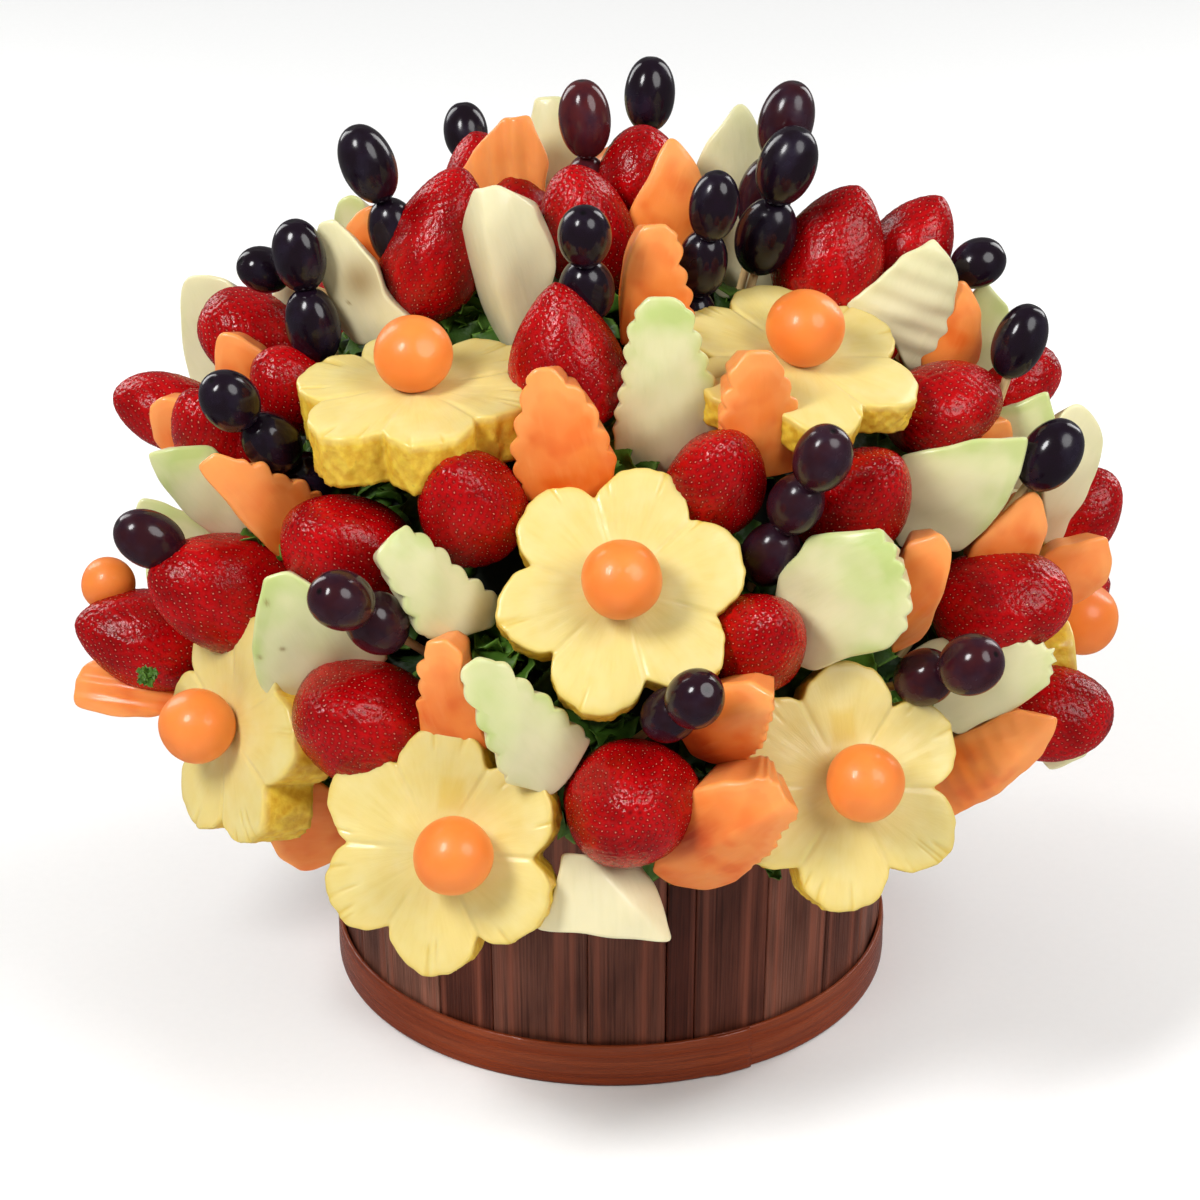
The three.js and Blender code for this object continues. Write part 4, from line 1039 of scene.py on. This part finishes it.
def make_materials():
    """All the materials, by the real stuff they are made of. Flesh lets light in a few millimetres."""
    flesh = {"Subsurface_Weight": 0.3, "Subsurface_Scale": 0.004, "IOR": 1.38, "Coat_Weight": 0.2,
             "Coat_Roughness": 0.12}
    orange = {"Subsurface_Radius": (1.0, 0.35, 0.1), **flesh}
    veins, gloss, up = (3, 2.0, 0.5, (1, 1, 0.2)), (7,), (1, 1, 0.015)
    MATERIALS.update(
        strawberry=finish("ripe strawberry skin", strawberry_skin, ((14,), (1.1,), (2.4,)), 0.25, IOR=1.38,
                          Subsurface_Weight=0.1, Subsurface_Scale=0.003, Subsurface_Radius=(1.0, 0.15, 0.08),
                          Specular_IOR_Level=0.36),
        seed=finish("strawberry seed husk", seed_husk, (), 0.35, IOR=1.45),
        grape=finish("black grape skin with bloom", grape_skin, ((6, 3.0), (11, 4.0)), 0.3, IOR=1.4,
                     Specular_IOR_Level=0.35, Coat_Weight=0.12, Coat_Roughness=0.08),
        honeydew=finish("peeled honeydew flesh", honeydew_flesh, ((20,), veins, gloss), 0.4,
                        Subsurface_Radius=(1.0, 0.85, 0.55), **flesh),
        cantaloupe=finish("peeled cantaloupe flesh", cantaloupe_flesh, ((22,), veins, gloss, (9, 1.0)), 0.4,
                          **orange),
        ball=finish("scooped cantaloupe ball", ball_flesh, ((30,), (1.6,)), 0.45, **orange),
        pineapple=finish("cut pineapple flesh", pineapple_flesh, ((12,), (3.5, 4.0), (1.7,)), 0.4,
                         Subsurface_Radius=(1.0, 0.75, 0.25), **flesh),
        stave=finish("stained bamboo slat", stave_stain,
                     ((12, 2.0, 0.5, (1, 1, 0.3)), (0.8, 5.0, 0.65, up), (4, 2.0, 0.5, up)),
                     0.45, Specular_IOR_Level=0.18, Coat_Weight=0.03, Coat_Roughness=0.3),
        band=finish("stained bamboo band", band_stain,
                    ((1.1, 4.0, 0.6, (0.02, 1, 1)), (7, 2.0, 0.5, (0.05, 1, 1))), 0.3,
                    Specular_IOR_Level=0.25, Coat_Weight=0.2, Coat_Roughness=0.12),
        leaf=finish("curly kale leaf", leaf_blade, ((2.5,),), 0.5, Specular_IOR_Level=0.25),
        packed=finish("packed kale leaf", shaded_packed_leaf, ((6, 5.0),), 0.8),
        skewer=finish("split bamboo skewer", split_bamboo, ((0.8, 2.0, 0.5, (1, 1, 0.05)),), 0.5),
        paper=finish("matt studio paper", studio_paper, (), 0.9),
    )


# ---- Settings ----
def number(name, text, value, **kind):
    """Number property."""
    return bpy.props.FloatProperty(name=name, description=text, default=value, **kind)


def length(name, text, value):
    """Length property with a default in metres."""
    return number(name, text, value, unit="LENGTH")


def count(name, text, value):
    """Whole-number property."""
    return bpy.props.IntProperty(name=name, description=text, default=value)


def colour(name, text, value):
    """Colour property with an sRGB hex default."""
    return bpy.props.FloatVectorProperty(name=name, description=text, size=4, subtype="COLOR", min=0, max=1,
                                         default=linear(value))


class BasketSettings(bpy.types.PropertyGroup):
    """Sizes of the basket that the frame doesn't give."""

    wall: length("Wall", "Thickness of a stave", 3.2 * MM)
    foot: length("Foot", "Radius of the staves at the ground", 0.1)
    lap: number("Lap", "How far the band's end laps over its start", math.radians(9), subtype="ANGLE")


class FruitSettings(bpy.types.PropertyGroup):
    """How the fruit and the leaves are grown."""

    seed_spacing: length("Seed spacing", "Distance between strawberry seeds", 2.6 * MM)
    pit_depth: length("Pit depth", "Depth of the pit round each seed", 0.42 * MM)
    leaf_count: count("Leaves", "Curly leaves over the heap of greens", 480)
    sprig_blades: count("Sprig blades", "Leaves in each standing sprig", 9)
    leaf_length: length("Leaf length", "Length of a leaf blade", 26 * MM)


class ColourSettings(bpy.types.PropertyGroup):
    """Main colour of each material."""

    strawberry: colour("Strawberry", "Ripe skin in full light", "#B2070B")
    seed: colour("Seed", "Palest seed husk", "#DC9070")
    grape: colour("Grape", "Darkest skin", "#0B0912")
    honeydew: colour("Honeydew", "Flesh away from the peel", "#DCD3AC")
    honeydew_green: colour("Honeydew green", "Flesh next to the peel", "#B2C076")
    cantaloupe: colour("Cantaloupe", "Peeled face", "#EC8B40")
    ball: colour("Melon ball", "Scooped face", "#EE883A")
    pineapple: colour("Pineapple", "Cut face", "#D9C57A")
    pineapple_wall: colour("Pineapple wall", "Outer wall of a flower", "#E4C240")
    stave: colour("Stave", "Palest basket slat", "#A06A56")
    band: colour("Band", "Foot band on its ridges", "#8A3814")
    leaf: colour("Leaf", "Palest blade", "#41661C")


class StageSettings(bpy.types.PropertyGroup):
    """Camera and light."""

    rise: number("Camera rise", "Angle of the camera over the horizon", math.radians(26.5), subtype="ANGLE")
    distance: length("Camera distance", "From the camera to the point it looks at", 1.5)
    lens: number("Lens", "Focal length in millimetres", 124.0)
    aim: bpy.props.FloatVectorProperty(name="Aim", description="Point the camera looks at",
                                       default=(-0.0042, 0.0, 0.1425), subtype="XYZ", unit="LENGTH")
    key: number("Left light", "Left softbox in watts", 11.5)
    fill: number("Right light", "Right softbox in watts", 9.5)
    rear: number("Rear lights", "Each strip behind, in watts", 7.0)
    wash: number("Floor wash", "Light over the floor behind, in watts", 45.0)
    sky: number("Room light", "Strength of the room's even light", 0.2)


# ---- Operators ----
class BOUQUET_OT_basket(bpy.types.Operator):
    """Staves, foot band and floor board of the basket"""

    bl_idname = "bouquet.basket"
    bl_label = "Basket"

    def execute(self, context):
        props, rng = context.scene.bouquet_basket, drawn(3)
        lo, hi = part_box("basket_staves")
        foot, rim = props.foot / MM, (hi[0] - lo[0]) / 2 / MM
        starts = FIRST_JOINT + np.cumsum([0] + STAVES)
        slats = [slat(*stave, foot, rim, hi[2] / MM, props.wall / MM, rng)
                 for stave in zip(starts, STAVES, STAVE_TONES)]
        settle(put_mesh("bamboo_slats", joined(slats), ["stave"]), "bamboo_stave", "basket_staves")
        lo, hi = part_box("basket_hoop")
        form = band((hi[0] - lo[0]) / 2 / MM, foot + 1.2, hi[2] / MM, math.degrees(props.lap))
        settle(put_mesh("bamboo_band", form, ["band"]), "bamboo_hoop", "basket_hoop")
        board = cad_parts["basket_floor"]
        board.data.materials.clear()
        board.data.materials.append(MATERIALS["stave"])
        return {"FINISHED"}


class BOUQUET_OT_greens(bpy.types.Operator):
    """Heap of packed greens in painted shade, with curly leaves over it"""

    bl_idname = "bouquet.greens"
    bl_label = "Greens"

    def execute(self, context):
        props, basket, rng = context.scene.bouquet_fruit, context.scene.bouquet_basket, drawn(7)
        lo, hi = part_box("greens_bed")
        core = heap((basket.foot - basket.wall) / MM - 1.5, (hi[0] - lo[0]) / 2 / MM - 12, hi[2] / MM - 8)
        # The core is painted near black: painted shade for the deep gaps between the fruit.
        settle(put_mesh("packed_greens", core, ["packed"]), "greens", "greens_bed")
        form = leaves(rng, *dome_points(props.leaf_count, rng, -13, 88, 9), (props.leaf_length / MM, 11))
        settle(put_mesh("curly_leaves", form, ["leaf"]), "greens")
        out, reach, grow = (np.repeat(given, props.sprig_blades, 0) for given in (
            [direction(*sprig[:2]) for sprig in SPRIGS], [sprig[2:3] for sprig in SPRIGS],
            [sprig[3:] for sprig in SPRIGS]))
        at = HEART + out * reach - out * 6 * grow + rng.normal(0, 5, out.shape) * grow
        grow = grow[..., None]
        form = leaves(rng, at, out, (props.leaf_length / MM * 0.85 * grow, 10 * grow), (40, 85))
        form.mark[:, 2] = 0.75 + 0.5 * form.mark[:, 2]
        settle(put_mesh("leaf_sprigs", form, ["leaf"]), "greens")
        return {"FINISHED"}


class BOUQUET_OT_flowers(bpy.types.Operator):
    """Pineapple flowers, each with its melon ball and skewer"""

    bl_idname = "bouquet.flowers"
    bl_label = "Pineapple flowers"

    def execute(self, context):
        set_each("cut_pineapple", "flower", FLOWERS, 100, flower, "pineapple_flower")
        set_further("further_melon_ball", "melon ball", MORE_BALLS, 150, single_ball)
        return {"FINISHED"}


class BOUQUET_OT_berries(bpy.types.Operator):
    """Strawberries with their seeds"""

    bl_idname = "bouquet.berries"
    bl_label = "Strawberries"

    def execute(self, context):
        props = context.scene.bouquet_fruit
        grown = functools.partial(berry, spacing=props.seed_spacing / MM, pit=props.pit_depth / MM)
        set_each("ripe_berry", "berry", BERRIES, 200, grown, "strawberry")
        coarse = functools.partial(grown, rows=62, cols=108)
        set_further("further_berries", "berry", MORE_BERRIES, 240, coarse)
        return {"FINISHED"}


class BOUQUET_OT_melons(bpy.types.Operator):
    """Honeydew and cantaloupe wedges"""

    bl_idname = "bouquet.melons"
    bl_label = "Melon wedges"

    def execute(self, context):
        for kind, items, more, seed in (("honeydew", HONEYDEWS, MORE_HONEYDEWS, 300),
                                        ("cantaloupe", CANTALOUPES, MORE_CANTALOUPES, 400)):
            set_each(f"{kind}_wedge", kind, items, seed, wedge, kind)
            set_further(f"further_{kind}", kind, more, seed + 40, functools.partial(wedge, **COARSE_WEDGE))
        return {"FINISHED"}


class BOUQUET_OT_grapes(bpy.types.Operator):
    """Grapes on their skewers"""

    bl_idname = "bouquet.grapes"
    bl_label = "Grapes"

    def execute(self, context):
        set_each("black_grapes", "grape", GRAPES, 500, grape_row, "grape_skewer")
        set_further("further_grapes", "grape", MORE_GRAPES, 540, grape_row)
        return {"FINISHED"}


def rear_items(rng):
    """Fruit for the back of the dome, ring by ring, as items by letter. A flower has twice the room."""
    items = {key: [] for key in "fbhcg"}
    for rise, first, last, row in REAR_RINGS:
        room = np.array([1 + (key == "f") for key in row])
        for key, share in zip(row, (np.cumsum(room) - room / 2) / room.sum()):
            heading = first + (last - first) * share + rng.uniform(-2.5, 2.5)
            lift = rise + rng.uniform(-2.5, 2.5)
            reach = 161 + 0.5 * lift + {"f": 17, "b": 3, "g": 20}.get(key, 0)
            given = {"aim": (heading + rng.uniform(-10, 10), lift + rng.uniform(-8, 8))}
            if key == "f":
                given.update(turn=rng.uniform(0, 60))
            elif key == "b":
                given.update(size=(rng.uniform(38, 45), rng.uniform(48, 56)))
            elif key == "g":
                given.update(count=3)
            else:
                given.update(aim=(heading + rng.uniform(-40, 40), lift + rng.uniform(50, 72)),
                             face=(heading, lift), size=(rng.uniform(38, 46), rng.uniform(56, 66), 22),
                             tip=rng.uniform(0.25, 0.5), crimp=bool(rng.integers(2)))
            items[key].append(fruit((heading, lift, reach), **given))
    return items


class BOUQUET_OT_rear(bpy.types.Operator):
    """Fruit at the back of the dome, finished like the front"""

    bl_idname = "bouquet.rear"
    bl_label = "Rear fruit"

    def execute(self, context):
        rng = drawn(11)
        items = rear_items(rng)
        for name, kind, shape, given in (
                ("rear_pineapple", "flower", flower, {"cols": 160, "rows": (14, 8)}),
                ("rear_berries", "berry", berry, {"cols": 76, "rows": 46, "spacing": 3.4}),
                ("rear_honeydew", "honeydew", wedge, COARSE_WEDGE),
                ("rear_cantaloupe", "cantaloupe", wedge, COARSE_WEDGE),
                ("rear_grapes", "grape", grape_row, {})):
            nodes = ["rear_fruit"] if kind == "berry" else []
            set_fruit(name, kind, [(shape(each, rng, **given), each) for each in items[kind[0]]], *nodes)
        return {"FINISHED"}


class BOUQUET_OT_stage(bpy.types.Operator):
    """Pale floor, softboxes in front, strips and a wash behind, even room light and the camera"""

    bl_idname = "bouquet.stage"
    bl_label = "Stage"

    def execute(self, context):
        scene = context.scene
        props = scene.bouquet_stage
        half, gap = 6.0, 0.0004     # half the floor's width, and how far it lies under the basket
        mesh = bpy.data.meshes.new("studio_floor")
        corners = [(x * half, y * half, 0) for x, y in ((-1, -1), (1, -1), (1, 1), (-1, 1))]
        mesh.from_pydata(corners, [], [(0, 1, 2, 3)])
        mesh.materials.append(MATERIALS["paper"])
        floor = shown("studio_floor", mesh)
        floor.location.z = -gap
        floor.visible_glossy = False
        aim = Vector(props.aim)
        for name, heading, rise, size, power in (("left softbox", -42, 44, (0.3, 0.45), props.key),
                                                 ("right softbox", 46, 40, (0.7, 0.8), props.fill),
                                                 ("rear left strip", -130, 28, (0.4, 1.0), props.rear),
                                                 ("rear right strip", 130, 28, (0.4, 1.0), props.rear)):
            turn_to(area_light(name, "ELLIPSE", size, power), aim, direction(heading, rise), LIGHT_REACH)
        wash = area_light("floor wash", "RECTANGLE", (5.0, 3.0), props.wash)
        wash.data.spread = math.radians(100)
        wash.location = (0, 3.0, 1.9)
        world = bpy.data.worlds.new("studio room")
        world.use_nodes = True
        back = world.node_tree.nodes["Background"].inputs
        back["Color"].default_value, back["Strength"].default_value = (1, 1, 1, 1), props.sky
        scene.world = world
        camera = shown("camera", bpy.data.cameras.new("camera"))
        camera.data.lens, camera.data.sensor_width = props.lens, 36
        turn_to(camera, aim, direction(0, math.degrees(props.rise)), props.distance)
        scene.camera = camera
        scene.view_settings.view_transform = "Standard"
        scene.view_settings.look = "None"
        return {"FINISHED"}


def area_light(name, shape, size, power):
    """Area light of a shape, a width and a height in metres, and a power in watts."""
    lamp = bpy.data.lights.new(name, "AREA")
    lamp.shape, lamp.size, lamp.size_y, lamp.energy = shape, *size, power
    return shown(name, lamp)


def turn_to(thing, aim, way, distance):
    """Puts a light or a camera at a distance from the aim and turns it to look there."""
    thing.location = aim + Vector(way) * distance
    thing.rotation_euler = Vector(way).to_track_quat("Z", "Y").to_euler()


class BOUQUET_PT_panel(bpy.types.Panel):
    """Sidebar panel with the bouquet's steps and settings"""

    bl_idname = "BOUQUET_PT_panel"
    bl_label = "Fruit bouquet"
    bl_space_type = "VIEW_3D"
    bl_region_type = "UI"
    bl_category = "Bouquet"

    def draw(self, context):
        for step in STEPS:
            self.layout.operator(step.bl_idname)
        for group in SETTINGS:
            box = self.layout.box()
            props = getattr(context.scene, group)
            for key in props.__annotations__:
                box.prop(props, key)


STEPS = (BOUQUET_OT_stage, BOUQUET_OT_basket, BOUQUET_OT_greens, BOUQUET_OT_flowers, BOUQUET_OT_berries,
         BOUQUET_OT_melons, BOUQUET_OT_grapes, BOUQUET_OT_rear)
SETTINGS = {"bouquet_basket": BasketSettings, "bouquet_fruit": FruitSettings,
            "bouquet_colours": ColourSettings, "bouquet_stage": StageSettings}


def register():
    """Registers the settings, the steps and the panel."""
    for kind in (*SETTINGS.values(), *STEPS, BOUQUET_PT_panel):
        bpy.utils.register_class(kind)
    for name, kind in SETTINGS.items():
        setattr(bpy.types.Scene, name, bpy.props.PointerProperty(type=kind))


def unregister():
    """Takes away what register added."""
    for name in SETTINGS:
        delattr(bpy.types.Scene, name)
    for kind in (BOUQUET_PT_panel, *reversed(STEPS), *SETTINGS.values()):
        bpy.utils.unregister_class(kind)


def main():
    register()
    make_materials()
    for step in STEPS:
        group, name = step.bl_idname.split(".")
        getattr(getattr(bpy.ops, group), name)()


if __name__ == "__main__":
    main()
